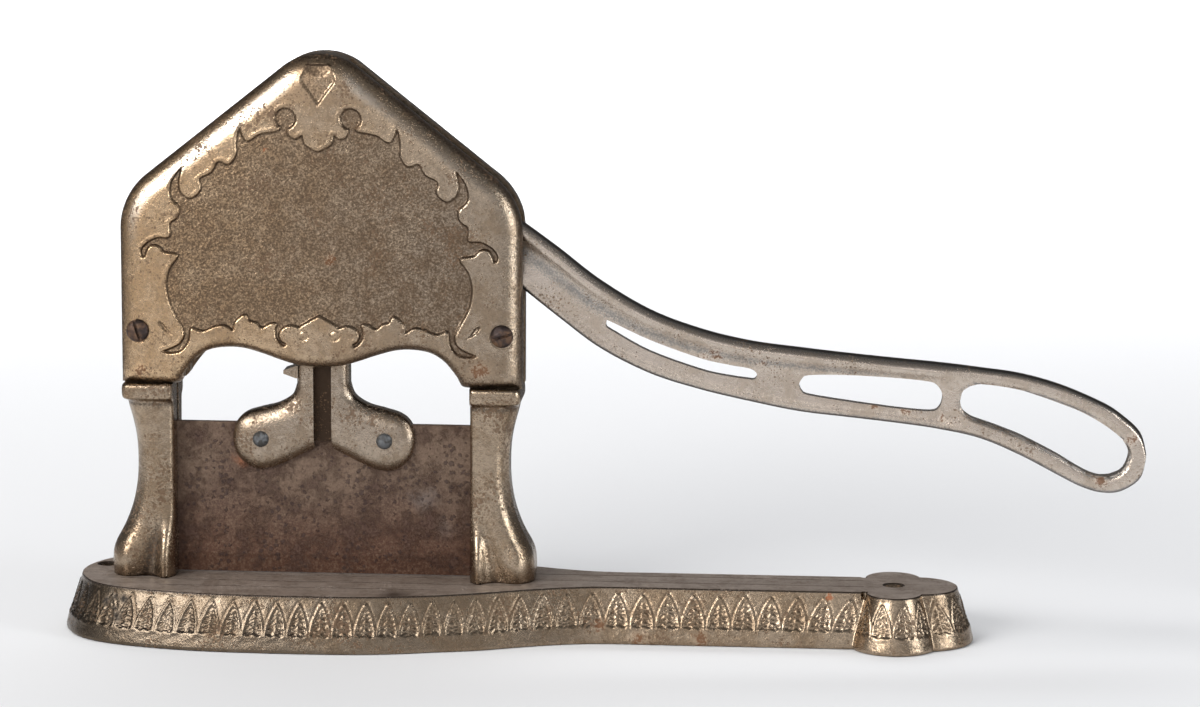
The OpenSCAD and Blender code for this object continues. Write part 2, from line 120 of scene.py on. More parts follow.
window("window_left", (-1.27, -1.61, 1.02), (1.4, 0.72), 33, (1, 0.985, 0.96))
window("window_front", (-0.13, -2.43, 0.97), (2.4, 0.5), 3.0, (1, 0.99, 0.98))
window("window_right", (1.2, -0.5, 0.35), (0.22, 0.9), 6, (0.95, 0.98, 1))
skylight = window("skylight", (-0.9, -0.4, 2.3), (1.4, 1.2), 27, (1, 0.985, 0.96))
wash = window("back_wash", (0.1, 2.7, 2.2), (6.4, 2.8), 150, aim=(0.1, 2.7, 0.0))
wash.data.spread = math.radians(104)
for lamp in (skylight, wash):
    lamp.visible_glossy = False

room = bpy.data.worlds.new("room")
room.use_nodes = True
scene.world = room
room_nodes = room.node_tree.nodes
room_place, room_lean, room_share, room_ramp = [
    room_nodes.new("ShaderNode" + kind) for kind in ("TexCoord", "VectorMath", "MapRange", "ValToRGB")]
room_lean.operation = "DOT_PRODUCT"
room_lean.inputs[1].default_value = (0.12, 0.8, 0.5)
room_share.inputs["From Min"].default_value = -1.0
room_stops = room_ramp.color_ramp.elements
for place, level in ((0.05, 0.76), (0.25, 0.46), (0.5, 0.2), (0.78, 0.13)):
    room_stops.new(place).color = (level, level, level*1.03, 1)
room_stops.remove(room_stops[0])
room_stops.remove(room_stops[-1])
for output, socket in ((room_place.outputs["Generated"], room_lean.inputs[0]),
                       (room_lean.outputs["Value"], room_share.inputs["Value"]),
                       (room_share.outputs[0], room_ramp.inputs[0]),
                       (room_ramp.outputs[0], room_nodes["Background"].inputs[0])):
    room.node_tree.links.new(output, socket)
room_nodes["Background"].inputs[1].default_value = 1.0

# The base is one hollow grey-iron casting: an oval deck that narrows to a tongue and ends in a
# spade of three lobes, on a flared skirt with a row of lancet leaves cast round it, nickelled and
# worn. Two countersunk holes take the counter screws, and the deck has shallow guide lines.
deck_z = 20.0
flare = 6.0
lobe_steps = 48
counter_holes = ((210, 0), (-83, 9))
counter_hole_r = 2.8
foot_screws = ((66, 0), (-66, 0))
guide_lines = ((-23.3, -58, 44), (-13.5, -74, 74), (-3.7, -80, 199), (6.1, -74, 199), (15.9, -70, 66),
               (25.7, -52, 38))
guide_half = 0.32
guide_deep = 0.55


def smooth_path(points, steps):
    """A curve through the points, with that many steps to a span."""
    given = np.array(points, float)
    held = np.vstack([given[:1], given, given[-1:]])
    t = (np.arange(steps)/steps)[:, None]
    spans = []
    for i in range(len(given) - 1):
        a, b, c, d = held[i:i + 4]
        spans.append(0.5*(2*b + (c - a)*t + (2*a - 5*b + 4*c - d)*t**2 + (3*b - a - 3*c + d)*t**3))
    return np.vstack(spans + [given[-1:]])


def arc(centre, radius, start, end, steps):
    """Points on a circle between two angles in degrees."""
    turn = np.radians(np.linspace(start, end, steps + 1))
    return np.array(centre) + radius*np.stack([np.cos(turn), np.sin(turn)], 1)


def base_side(grow):
    """One side of the base's outline, from the left end to the tip, grown outward. Also its notches."""
    w, t, l = 37.5 + grow, 12.5 + grow, 90.5 + grow
    lobe, lobe_r = np.array((210.0, 12.0)), 10.2 + grow
    tip, tip_r = np.array((219.5, 0.0)), 14.0 + grow
    gap = tip - lobe
    d = np.hypot(*gap)
    along = (lobe_r**2 - tip_r**2 + d*d)/(2*d)
    cleft = lobe + gap/d*along + math.sqrt(lobe_r**2 - along**2)*np.array((-gap[1], gap[0]))/d
    root = min(180.0, 180.0 - math.degrees(math.asin((t - lobe[1])/lobe_r)))
    lobe_end = math.degrees(math.atan2(*(cleft - lobe)[::-1]))
    tip_start = math.degrees(math.atan2(*(cleft - tip)[::-1]))
    steps = 12
    sweep = smooth_path([(-l*0.977, -w*0.29), (-l, 0), (-l*0.977, w*0.29), (-l*0.904, w*0.575),
                         (-l*0.79, w*0.755), (-l*0.62, w*0.885), (-l*0.4, w*0.972), (-l*0.113, w),
                         (14, w*0.987), (30, w*0.933), (45, w*0.84), (60, t + (w - t)*0.56),
                         (78, t + (w - t)*0.26), (92, t + (w - t)*0.08), (105, t), (125, t), (160, t)],
                        steps)[steps:]
    tail = np.linspace((160, t), arc(lobe, lobe_r, root, root, 0)[0], 25)[1:-1]
    notch = len(sweep) + len(tail)
    side = np.vstack([sweep, tail, arc(lobe, lobe_r, root, lobe_end, lobe_steps),
                      arc(tip, tip_r, tip_start, 0, 36)[1:]])
    return side, (notch, notch + lobe_steps)


def net(columns, rows):
    """A flat net of quads and the place of each of its points, from 0 to 1 both ways."""
    bm = bmesh.new()
    bmesh.ops.create_grid(bm, x_segments=columns, y_segments=rows, size=0.5)
    places = np.array([v.co[:2] for v in bm.verts]) + 0.5
    return bm, places[:, 0], places[:, 1]


def move_to(bm, x, y, z):
    for vert, place in zip(bm.verts, np.stack([x, y, z], 1).tolist()):
        vert.co = place


def step(value, low, high):
    """0 below low, 1 above high and a soft rise between them."""
    t = np.clip((value - low)/(high - low), 0, 1)
    return t*t*(3 - 2*t)


def note(bm, values, name="hollow"):
    """Keeps for the finish a value at each point: the dirt and painted shade in the casting's hollows, or
    the painted highlight.
    """
    layer = bm.verts.layers.float.new(name)
    for vert, value in zip(bm.verts, values.tolist()):
        vert[layer] = value


def smooth(bm):
    for face in bm.faces:
        face.smooth = True


def outward(bm):
    """Turns every face of a closed shape outwards."""
    bmesh.ops.recalc_face_normals(bm, faces=bm.faces)


def flip(bm, axes):
    """Mirrors the shape, with its faces still outwards."""
    bmesh.ops.scale(bm, vec=axes, verts=bm.verts)
    bmesh.ops.reverse_faces(bm, faces=bm.faces)


def cap(bm, test):
    """Closes the open edge loop whose points pass the test with one flat face."""
    rim = [e for e in bm.edges if e.is_boundary and all(test(v.co) for v in e.verts)]
    for face in bmesh.ops.edgeloop_fill(bm, edges=rim)["faces"]:
        face.smooth = False


def close_round(bm, middle):
    """Joins a net's ends round the piece and closes it above and below."""
    bmesh.ops.remove_doubles(bm, verts=[v for v in bm.verts if v.is_boundary], dist=0.0005)
    smooth(bm)
    cap(bm, lambda co: co.z > middle)
    cap(bm, lambda co: co.z < middle)
    outward(bm)


def loft(rings):
    """A closed shape whose skin runs from ring to ring."""
    bm = bmesh.new()
    loops = []
    for points in rings:
        ring = [bm.verts.new(point) for point in points]
        loops.append([bm.edges.new((ring[i - 1], ring[i])) for i in range(len(ring))])
    for first, second in zip(loops[:-1], loops[1:]):
        bmesh.ops.bridge_loops(bm, edges=first + second)
    for loop in (loops[0], loops[-1]):
        bmesh.ops.edgeloop_fill(bm, edges=loop)
    outward(bm)
    return bm


def bar(radius, top_radius, low, high, place, sides=40):
    """A round bar or cone standing on Z."""
    bm = bmesh.new()
    bmesh.ops.create_cone(bm, cap_ends=True, segments=sides, radius1=radius, radius2=top_radius,
                          depth=high - low, matrix=Matrix.Translation((*place, (low + high)/2)))
    return bm


def block(low, high):
    """A box between two opposite corners."""
    bm = bmesh.new()
    size = Vector(high) - Vector(low)
    bmesh.ops.create_cube(bm, size=1, matrix=Matrix.Translation((Vector(low) + Vector(high))/2)
                          @ Matrix.Diagonal((*size, 1)))
    return bm


def work(bm, tool, operation="DIFFERENCE"):
    """The body after another one is cut out of it or joined to it."""
    pair = []
    for shape in (bm, tool):
        mesh = bpy.data.meshes.new("blank")
        shape.to_mesh(mesh)
        shape.free()
        pair.append(bpy.data.objects.new("blank", mesh))
        scene.collection.objects.link(pair[-1])
    cut = pair[0].modifiers.new("cut", "BOOLEAN")
    cut.operation = operation
    cut.solver = "MANIFOLD"
    cut.object = pair[1]
    result = bmesh.new()
    result.from_object(pair[0], bpy.context.evaluated_depsgraph_get())
    for blank in pair:
        mesh = blank.data
        bpy.data.objects.remove(blank)
        bpy.data.meshes.remove(mesh)
    return result


def fit(bm, name, body, finish, nodes, sharp=None):
    """Puts the shaped piece in the scene, on its body and in place of its CAD nodes."""
    bmesh.ops.scale(bm, vec=(0.001, 0.001, 0.001), verts=bm.verts)
    mesh = bpy.data.meshes.new(name)
    bm.to_mesh(mesh)
    bm.free()
    if sharp:
        for face in mesh.polygons:
            face.use_smooth = True
        mesh.set_sharp_from_angle(angle=math.radians(sharp))
    mesh.materials.clear()
    mesh.materials.append(finish)
    piece = bpy.data.objects.new(name, mesh)
    scene.collection.objects.link(piece)
    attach(piece, body)
    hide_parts(*nodes)


class Value:
    """A shader socket that takes part in Python arithmetic."""

    def __init__(self, finish, socket):
        self.finish = finish
        self.socket = socket

    def math(self, operation, left, right):
        return self.finish.node("ShaderNodeMath", {"operation": operation}, {0: left, 1: right})

    def __add__(self, other):
        return self.math("ADD", self, other)

    def __radd__(self, other):
        return self.math("ADD", other, self)

    def __sub__(self, other):
        return self.math("SUBTRACT", self, other)

    def __rsub__(self, other):
        return self.math("SUBTRACT", other, self)

    def __mul__(self, other):
        return self.math("MULTIPLY", self, other)

    def __rmul__(self, other):
        return self.math("MULTIPLY", other, self)


class Finish:
    """A procedural material and the few nodes that it is made of."""

    def __init__(self, name):
        self.material = bpy.data.materials.new(name)
        self.material.use_nodes = True
        self.tree = self.material.node_tree
        self.shader = self.tree.nodes["Principled BSDF"]
        self.here = self.node("ShaderNodeTexCoord", {}, {}, "Object")

    def node(self, kind, settings, sockets, output=0):
        made = self.tree.nodes.new(kind)
        for key, value in settings.items():
            setattr(made, key, value)
        self.join(made, sockets)
        return Value(self, made.outputs[output])

    def join(self, node, sockets):
        for key, value in sockets.items():
            if isinstance(value, Value):
                self.tree.links.new(value.socket, node.inputs[key])
            else:
                node.inputs[key].default_value = value

    def noise(self, scale, detail=4.0, roughness=0.55, place=None):
        return self.node("ShaderNodeTexNoise", {}, {"Vector": place or self.here, "Scale": scale,
                                                    "Detail": detail, "Roughness": roughness})

    def rise(self, value, low, high):
        return self.node("ShaderNodeMapRange", {"interpolation_type": "SMOOTHSTEP"},
                         {"Value": value, "From Min": low, "From Max": high})

    def dots(self, scale):
        """Distance from the nearest of many scattered points."""
        return self.node("ShaderNodeTexVoronoi", {}, {"Vector": self.here, "Scale": scale}, "Distance")

    def mix(self, share, first, second):
        return self.node("ShaderNodeMix", {"data_type": "RGBA"}, {0: share, 6: first, 7: second}, 2)

    def axis(self, name):
        return self.node("ShaderNodeSeparateXYZ", {}, {0: self.here}, name)

    def spot(self, place, radius):
        """1 at a place on the part, falling to 0 at about the radius, with a ragged edge."""
        away = self.node("ShaderNodeVectorMath", {"operation": "DISTANCE"},
                         {0: self.here, 1: place}, "Value")
        return self.rise(away + self.noise(0.6/radius, 4.0, 0.65)*radius*1.6, radius*1.7, radius*0.75)

    def surface(self, colour, roughness, metallic, height, depth):
        bump = self.node("ShaderNodeBump", {}, {"Height": height, "Strength": 1.0, "Distance": depth})
        self.join(self.shader, {"Base Color": colour, "Roughness": roughness, "Metallic": metallic,
                                "Normal": bump})
        return self.material


def worn_nickel(name, tone, painted_light_left_tone=None, turn=(0.075, -0.05), tarnish=0.5, pitting=0.5, rough=0.2,
                hollows=0.0, dirt_and_shade_tint=(0.1, 0.068, 0.045, 1), painted_highlight=0.0, deck=None, patches=()):
    """Old nickel plate: tarnish in clouds, fine freckles through to the iron, dirt and painted shade in
    the hollows, and painted light where asked.
    """
    f = Finish(name)
    plate = (*tone, 1)
    dark_plate = (*[c*0.45 for c in tone], 1)
    cloud = f.rise(f.noise(24.0, 5.0, 0.62), 0.36, 0.66)
    mottle = f.noise(110.0, 6.0, 0.72)
    grain = f.noise(520.0, 5.0, 0.75)
    speck = f.noise(1500.0, 3.0, 0.6)
    # Painted light and shade: the plate takes another tone towards the left, blended across X.
    if painted_light_left_tone:
        plate = f.mix(f.rise(f.axis("X") + cloud*0.03, *turn), plate, (*painted_light_left_tone, 1))
    stain = f.rise(mottle*0.8 + grain*0.3 + cloud*0.25*tarnish, 0.5, 0.7)
    dull = f.node("ShaderNodeMix", {"data_type": "RGBA", "blend_type": "MULTIPLY"},
                  {0: 1.0, 6: plate, 7: (0.6, 0.52, 0.43, 1)}, 2)
    colour = f.mix(stain*(0.35 + tarnish*0.6), plate, dull)
    dull_grain = f.rise(grain*0.55 + speck*0.45, 0.45, 0.58)
    colour = f.mix(dull_grain*(0.08 + tarnish*0.6), colour, dark_plate)
    roughness = rough + stain*0.1 + grain*0.05
    # A whiter painted highlight where the piece keeps one.
    if painted_highlight:
        bright = f.node("ShaderNodeAttribute", {"attribute_name": "painted_highlight"}, {}, "Fac")
        bright = f.rise(bright + (mottle - 0.5)*0.7 + (grain - 0.5)*0.5, 0.1, 1.0)*painted_highlight
        colour = f.mix(bright, colour, (0.68, 0.63, 0.56, 1))
    # Dirt and painted shade in the hollows, and near-black where they are deepest.
    if hollows:
        deep = f.node("ShaderNodeAttribute", {"attribute_name": "hollow"}, {}, "Fac")
        dirt_and_shade = f.rise(deep + (speck - 0.5)*1.9 + (grain - 0.5)*0.3 + (mottle - 0.5)*0.4, 0.08, 0.9)
        colour = f.mix(dirt_and_shade*hollows, colour, dirt_and_shade_tint)
        colour = f.mix(f.rise(deep, 0.7, 0.95)*hollows, colour, (0.04, 0.026, 0.018, 1))
        roughness = roughness + dirt_and_shade*0.16
    cluster = f.noise(70.0, 5.0, 0.7)*1.8
    least = 0.68 - pitting*0.2
    freckle = f.rise(cluster - f.dots(600.0) - grain*0.35, least, least + 0.1)
    dust = f.rise(cluster - f.dots(1050.0) - speck*0.3, least - 0.06, least + 0.06)
    colour = f.mix(dust*0.6, colour, (0.15, 0.09, 0.05, 1))
    colour = f.mix(freckle*0.8, colour, (0.13, 0.075, 0.04, 1))
    marks = f.rise(freckle + dust*0.4, 0.05, 1.0)
    metallic = 1.0 - marks*0.65
    if deck:
        level = f.axis("Z")
        top = f.rise(level, deck - 0.00012, deck - 0.00003)
        line = f.rise(level, deck - 0.0008, deck - 0.0005)
        stretched = f.node("ShaderNodeMapping", {}, {"Vector": f.here, "Scale": (12.0, 460.0, 30.0)})
        streak = f.noise(1.0, 6.0, 0.75, stretched)
        worn = f.mix(f.rise(streak, 0.36, 0.66), (0.36, 0.3, 0.26, 1), (0.25, 0.2, 0.165, 1))
        worn = f.mix(f.rise(mottle*0.5 + grain*0.5, 0.42, 0.64)*0.75, worn, (0.13, 0.095, 0.072, 1))
        worn = f.mix(f.spot((0.03, -0.031, 0.02), 0.012), worn, (0.06, 0.045, 0.036, 1))
        colour = f.mix(line, colour, f.mix(top, (0.05, 0.036, 0.027, 1), worn))
        roughness = roughness + top*0.16
        metallic = metallic - line*0.35 - top*0.35
    for place, radius, tint in patches:
        patch = f.spot(place, radius)
        ragged = f.rise(patch*0.6 + (grain - 0.5)*2 + (speck - 0.5)*1.5, 0.2, 0.5)
        colour = f.mix(f.rise(patch, 0.0, 0.25)*ragged*0.85, colour, tint)
        metallic = metallic - patch*0.6
        roughness = roughness + patch*0.45
    bumps = mottle*0.22 + grain*0.4 + speck*0.25 - marks*0.5
    return f.surface(colour, roughness + marks*0.25, metallic, bumps, 0.0003)


def leaf_row(near, z, stops):
    """Height of the leaves at each place along the skirt and up it, and how dirt and painted shade darken
    their sunk panels and grooves.
    """
    places, pitches = (0, 175, 215), (8.0, 8.0, 9.2)
    lobe_pitch = 9.3
    pitch = np.interp(near, (*places, stops[0] - 1, stops[0], stops[2]),
                      (*pitches, pitches[-1], lobe_pitch, lobe_pitch))
    fine = np.linspace(0, stops[0], 2000)
    count = np.concatenate([[0], np.cumsum(np.diff(fine)/np.interp(fine[1:], places, pitches))])
    leaf = np.interp(near, fine, count*round(count[-1])/count[-1])
    leaf = np.where(near > stops[0], 4*(near - stops[0])/(stops[1] - stops[0]), leaf)
    leaf = np.where(near > stops[1], 2.5*(near - stops[1])/(stops[2] - stops[1]), leaf)
    number = np.floor(leaf)
    frac = leaf % 1
    a = np.abs((frac - 0.5)*pitch)
    leaf_foot = 5.6
    tall = 12.0 + 0.3*np.sin(number*2.4)
    height = np.clip((z - leaf_foot)/tall, 0, 1)
    wide = 0.46*pitch
    edge = (wide*(1 - height**2) - a)/np.hypot(1, 2*wide*height/tall)
    edge = np.where(z > leaf_foot + tall, -np.hypot(a, z - leaf_foot - tall), edge)
    lobes = leaf_foot + 0.7*np.abs(np.sin(2.5*math.pi*frac + 0.4))
    above = step(z, lobes - 0.2, lobes + 0.7)
    rim = np.exp(-((edge - 0.2)/0.3)**2)*step(z, leaf_foot - 0.5, leaf_foot + 0.6)
    groove = np.exp(-((edge + 0.5)/0.34)**2)*step(z, leaf_foot - 0.3, leaf_foot + 0.9)
    inner = step(edge, 0.45, 0.85)*above
    wobble = 0.3*np.sin(1.9*z + 2.7*number) + 0.25*np.sin(3.1*a + 1.3*number)
    other_side = 0.5*np.where(frac < 0.5, 1, 0)
    branch = np.sin(2*math.pi*(z + 0.6*a + other_side + wobble)/1.55 + 1.1*number)
    tree = np.maximum(step(branch, -0.3, 0.6)*step(edge, 0.5, 1.1), np.exp(-(a/0.38)**2))
    cut = inner*(1 - tree*step(height, 0.93, 0.84))
    ledge = (1 - above)*step(z, 4.2, 5.6)*step(edge, -1.0, 0.2)
    relief = 0.26*rim - 0.2*groove - 0.1*inner - 0.4*cut + 0.08*ledge
    clear = np.minimum(np.abs(near - stops[0]), np.abs(near - stops[1]))
    # Dirt and painted shade: darker in the sunk panels and in the groove round each leaf.
    dirt_and_shade = np.clip(0.66*cut*step(z, lobes, lobes + 1.2) + 0.55*groove, 0, 1)
    return relief*step(clear, 0.6, 2.2), dirt_and_shade


def build_skirt():
    """The base as a solid block: deck, flared skirt and leaves."""
    deck_side, notches = base_side(0.0)
    foot_side, _ = base_side(flare)
    loops = [np.vstack([side*(1, -1), side[-2::-1]]) for side in (deck_side, foot_side)]
    middle = (loops[0] + loops[1])/2
    run = np.concatenate([[0], np.cumsum(np.hypot(*np.diff(middle, axis=0).T))])
    bm, u, v = net(1480, 60)
    along = u*run[-1]
    deck_xy, foot_xy = [np.stack([np.interp(along, run, loop[:, k]) for k in (0, 1)], 1) for loop in loops]
    profile = np.array([(0, 0.95), (0.3, 0.985), (0.9, 0.998), (2.5, 0.945), (4.4, 0.865), (6, 0.785),
                        (10, 0.53), (16, 0.19), (18.6, 0.035), (19.5, 0.0), (19.9, -0.03), (20, -0.08)])
    rise = np.hypot(np.diff(profile[:, 0]), flare*np.diff(profile[:, 1]))
    climb = np.concatenate([[0], np.cumsum(rise)])
    z = np.interp(v*climb[-1], climb, profile[:, 0])
    share = np.interp(v*climb[-1], climb, profile[:, 1])[:, None]
    out = foot_xy - deck_xy
    xy = deck_xy + out*share
    out = out/np.hypot(*out.T)[:, None]
    near = np.minimum(along, run[-1] - along)
    relief, dirt_and_shade = leaf_row(near, z, (run[notches[0]], run[notches[1]], run[len(deck_side) - 1]))
    uneven = np.sin(near*0.9 + 1.7*np.sin(z*0.6))*np.sin(z*0.8 + near*0.23)
    lumps = -0.05 + 0.04*uneven*step(share[:, 0], -0.02, 0.1)
    xy = xy + out*(relief + lumps*step(z, 1.0, 3.0))[:, None]
    move_to(bm, xy[:, 0], xy[:, 1], z)
    note(bm, dirt_and_shade)
    close_round(bm, deck_z/2)
    return bm


def build_base():
    ceiling = 16.5
    boss_top = 17
    boss_low = 0.02
    rings = []
    for grow, level in ((2.5, -1.0), (-4.0, ceiling)):
        side = base_side(grow)[0][::3]
        rings.append([(x, y, level) for x, y in np.vstack([side*(1, -1), side[-2:0:-1]])])
    bm = work(build_skirt(), loft(rings))
    for radius, place in zip((7.5, 5.2), counter_holes):
        bm = work(bm, bar(radius, radius, boss_low, boss_top, place), "UNION")
    for place in foot_screws:
        bm = work(bm, bar(7, 7, 8, boss_top, place), "UNION")
    bm = work(bm, block((-57, -3, boss_low), (57, 3, boss_top)), "UNION")
    for place in counter_holes:
        bm = work(bm, bar(counter_hole_r, counter_hole_r, -2, deck_z + 2, place))
        bm = work(bm, bar(counter_hole_r, 5.2, deck_z - 1.4, deck_z + 1.0, place))
    for place in foot_screws:
        bm = work(bm, bar(2.6, 2.6, -2, deck_z - 0.5, place, 24))
    for y in (-12.3, 12.3):
        bm = work(bm, bar(1.3, 1.3, 17.5, deck_z + 1, (199.3, y), 20))
    for y, left, end in guide_lines:
        low = (left, y - guide_half, deck_z - guide_deep)
        bm = work(bm, block(low, (end, y + guide_half, deck_z + 1)))
    return bm


def marks_at(tint, *places):
    """Marks of one tint for a finish, from their places and radii in millimetres."""
    return [((x/1000, y/1000, z/1000), r/1000, tint) for x, y, z, r in places]


orange_rust = (0.33, 0.11, 0.04, 1)
brown_rust = (0.16, 0.07, 0.03, 1)
black_rust = (0.02, 0.015, 0.012, 1)
skirt_pits = marks_at(black_rust, (-76.6, -27.4, 14.7, 2.8), (-73.3, -28.6, 16.4, 2.4),
                      (-69.5, -30.4, 15.8, 2.4), (-73.0, -30.4, 12.2, 2.2), (-71.9, -31.5, 9.9, 3.2))
# The countersunk holes are painted near-black: rust, and painted shade that hides their glint.
hole_rust_and_shade = marks_at(black_rust, *[(*place, 16, 5.5) for place in counter_holes])
notch_rust = marks_at(orange_rust, (186.7, -13, 17.7, 2.5))
tongue_rust = marks_at(brown_rust, (139.7, -18.5, 2.3, 5), (117.9, -18.4, 1.8, 6), (103.1, -17.1, 6.7, 4))
# Painted shade darkens the base towards its left end.
base_finish = worn_nickel("base_nickel", (0.385, 0.3, 0.217), painted_light_left_tone=(0.14, 0.112, 0.084),
                          turn=(0.16, -0.07), tarnish=0.45, pitting=0.8, rough=0.15, hollows=0.75,
                          deck=deck_z/1000, patches=skirt_pits + hole_rust_and_shade + notch_rust + tongue_rust)
fit(build_base(), "base", "stand", base_finish, ("base_casting",))

# The two legs are iron castings, screwed to the deck from below: a squared capital under the
# housing, a waisted shaft with a slot that guides the knife, and a foot that swells out to the side
# and forward into a toe. A post above the capital stands between the two covers.
leg_inner = 54.5
leg_width = 19
slot_half = 5.0
leg_rings = [(20.0, 1.24, 11.5), (25.8, 1.25, 12.1), (31.5, 1.2, 11.9), (39.4, 0.99, 11.0),
             (47.4, 0.84, 10.5), (56.0, 0.76, 10.4), (64.6, 0.745, 10.4), (71.8, 0.77, 10.4),
             (77.6, 0.83, 10.5), (82.6, 0.9, 10.8), (85.2, 0.93, 11.1), (86.0, 0.945, 11.8),
             (86.9, 0.97, 12.6), (88.2, 0.985, 12.85), (90.4, 0.985, 12.85), (91.5, 0.975, 12.6),
             (92.0, 0.955, 12.1)]


def build_leg(side):
    path = smooth_path(leg_rings, 6)
    bm, u, v = net(200, len(path) - 1)
    row = np.rint(v*(len(path) - 1)).astype(int)
    z, outer, d = path[row, 0], leg_inner + leg_width*path[row, 1], path[row, 2]
    square = step(z, 84.5, 86.8)
    inner_r = 1.8 + 1.9*step(z, 46, 27)
    outer_r = np.minimum(7.0 - 4.4*square, 0.62*d)
    t = np.where(u < 0.5, 2*u, 2 - 2*u)
    marks = (0, 0.12, 0.2, 0.55, 0.8, 1)
    part = [np.clip((t - marks[k])/(marks[k + 1] - marks[k]), 0, 1) for k in range(5)]
    x = leg_inner + inner_r*(1 - np.cos(part[1]*math.pi/2))
    x = x + (outer - outer_r - leg_inner - inner_r)*part[2] + outer_r*np.sin(part[3]*math.pi/2)
    y = (d - inner_r)*part[0] + inner_r*np.sin(part[1]*math.pi/2)
    y = y - outer_r*(1 - np.cos(part[3]*math.pi/2)) - (d - outer_r)*part[4]
    front = np.where(u < 0.5, 1.0, 0.55)*step(y, 2, 8)
    half = (outer - leg_inner)/2
    crown = 1.7*((x - leg_inner - half)/half)**2*(1 - 0.8*square)*(1 - 0.6*step(z, 40, 28))
    toe = 2.7*np.exp(-((x - 57.8)/2.8)**2)*step(z, 47, 24)
    hollow = np.exp(-((x - 59.6 - 0.22*(43 - z))/np.interp(z, (20, 40), (4.0, 2.4)))**2)*step(z, 47, 33)
    bulge = 1.0*np.exp(-((x - 72)/3.4)**2 - ((z - 25.5)/7.0)**2)
    y = y + front*(toe + bulge - 1.5*hollow - crown)
    move_to(bm, x, np.where(u < 0.5, -y, y), z)
    # Painted shade: in the crease beside the toe, which the left foot takes and the right hardly, and
    # under the capital; the bottom of the foot, where it meets the deck, is darker too.
    toe_shade = 0.8 if side < 0 else 0.12
    under = np.exp(-((z - 84.4)/1.1)**2)
    foot = step(z, 21.2, 20.2)
    note(bm, np.clip((toe_shade*hollow + 0.7*under)*step(y, 3, 6) + 0.6*foot, 0, 1))
    close_round(bm, 50)
    post = block((leg_inner, -slot_half, 90.5), (73.2, slot_half, 122.0))
    bmesh.ops.bevel(post, geom=post.edges, offset=0.5, offset_type="OFFSET", segments=2, profile=0.5,
                    affect="EDGES", material=-1)
    bm = work(bm, post, "UNION")
    bm = work(bm, block((50, -1.6, 18), (59.5, 1.6, 124)))
    if side < 0:
        flip(bm, (-1, 1, 1))
    return bm


leg_finish = worn_nickel("leg_nickel", (0.42, 0.33, 0.24), tarnish=0.5, pitting=0.9, rough=0.15,
                         hollows=0.85, dirt_and_shade_tint=(0.075, 0.06, 0.05, 1))
for name, side in (("left_leg", -1), ("right_leg", 1)):
    fit(build_leg(side), name + "_casting", "stand", leg_finish, (name,))


# The foot screws hold the legs down from under the deck; only their slotted heads could be seen, from
# below. They are plain dark steel, and so is the pin that the lever turns on inside the housing.
def dark_steel(name, tone):
    f = Finish(name)
    patch = f.rise(f.noise(240.0, 4.0, 0.6), 0.4, 0.66)
    grit = f.rise(f.noise(900.0, 3.0), 0.45, 0.7)
    colour = f.mix(patch, tone, (0.16, 0.085, 0.045, 1))
    colour = f.mix(grit*0.5, colour, (0.05, 0.035, 0.028, 1))
    return f.surface(colour, 0.42 + patch*0.25, 0.9 - patch*0.55, grit*0.5 + f.noise(420.0), 0.0002)


def dress(node, finish):
    """Gives a CAD piece that is shown as it is its finish."""
    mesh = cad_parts[node].data
    mesh.materials.clear()
    mesh.materials.append(finish)


pin_finish = dark_steel("pin_steel", (0.3, 0.28, 0.26, 1))
for name in ("foot_screw_left", "foot_screw_right", "pivot_pin"):
    dress(name, pin_finish)

# The back cover is the plain half of the gabled housing, an iron shell that stands behind the lever.
# It also closes the gap to the front cover along the left side, the left roof and the ridge.
half_width = 73.5
housing_low = 92.3
cover_face = 14.0
cover_inside = 10.8
cover_wall = 3.2
roof = math.radians(38.4)
side_top = 161.0
ridge_z = side_top + half_width*math.tan(roof)
ridge_r = 22.0
corner_r = 26.0
corner_low = side_top - corner_r*math.tan(math.pi/4 - roof/2)
lower_half = smooth_path([(half_width, housing_low), (64, housing_low), (53, housing_low), (50.5, 94.6),
                          (48, 98), (44.5, 101.9), (40, 104.5), (34, 105.5), (28, 105.2), (21, 103.3),
                          (15, 101.2), (8, 99.2), (0, 98.5)], 6)
lower_path = np.vstack([lower_half*(-1, 1), lower_half[-2::-1]])


def roof_z(x):
    """Height of the gable's upper outline: rounded ridge, straight slope, rounded shoulder."""
    a = np.minimum(np.abs(x), half_width)
    ridge = ridge_z - ridge_r/math.cos(roof) + np.sqrt(np.maximum(ridge_r**2 - a**2, 0))
    slope = ridge_z - a*math.tan(roof)
    shoulder = corner_low + np.sqrt(np.maximum(corner_r**2 - (a - half_width + corner_r)**2, 0))
    first = ridge_r*math.sin(roof)
    last = half_width - corner_r + corner_r*math.sin(roof)
    return np.where(a < first, ridge, np.where(a < last, slope, shoulder))


upper_x = half_width*np.sin(np.linspace(-math.pi/2, math.pi/2, 161))
upper_path = np.vstack([[(-half_width, housing_low)], np.stack([upper_x, roof_z(upper_x)], 1),
                        [(half_width, housing_low)]])


def reach(x, z, path):
    """Distance of each point from a path."""
    best = np.full(x.shape, 1e9)
    for (ax, az), (bx, bz) in zip(path[:-1], path[1:]):
        dx, dz = bx - ax, bz - az
        t = np.clip(((x - ax)*dx + (z - az)*dz)/max(dx*dx + dz*dz, 1e-12), 0, 1)
        best = np.minimum(best, (x - ax - t*dx)**2 + (z - az - t*dz)**2)
    return np.sqrt(best)


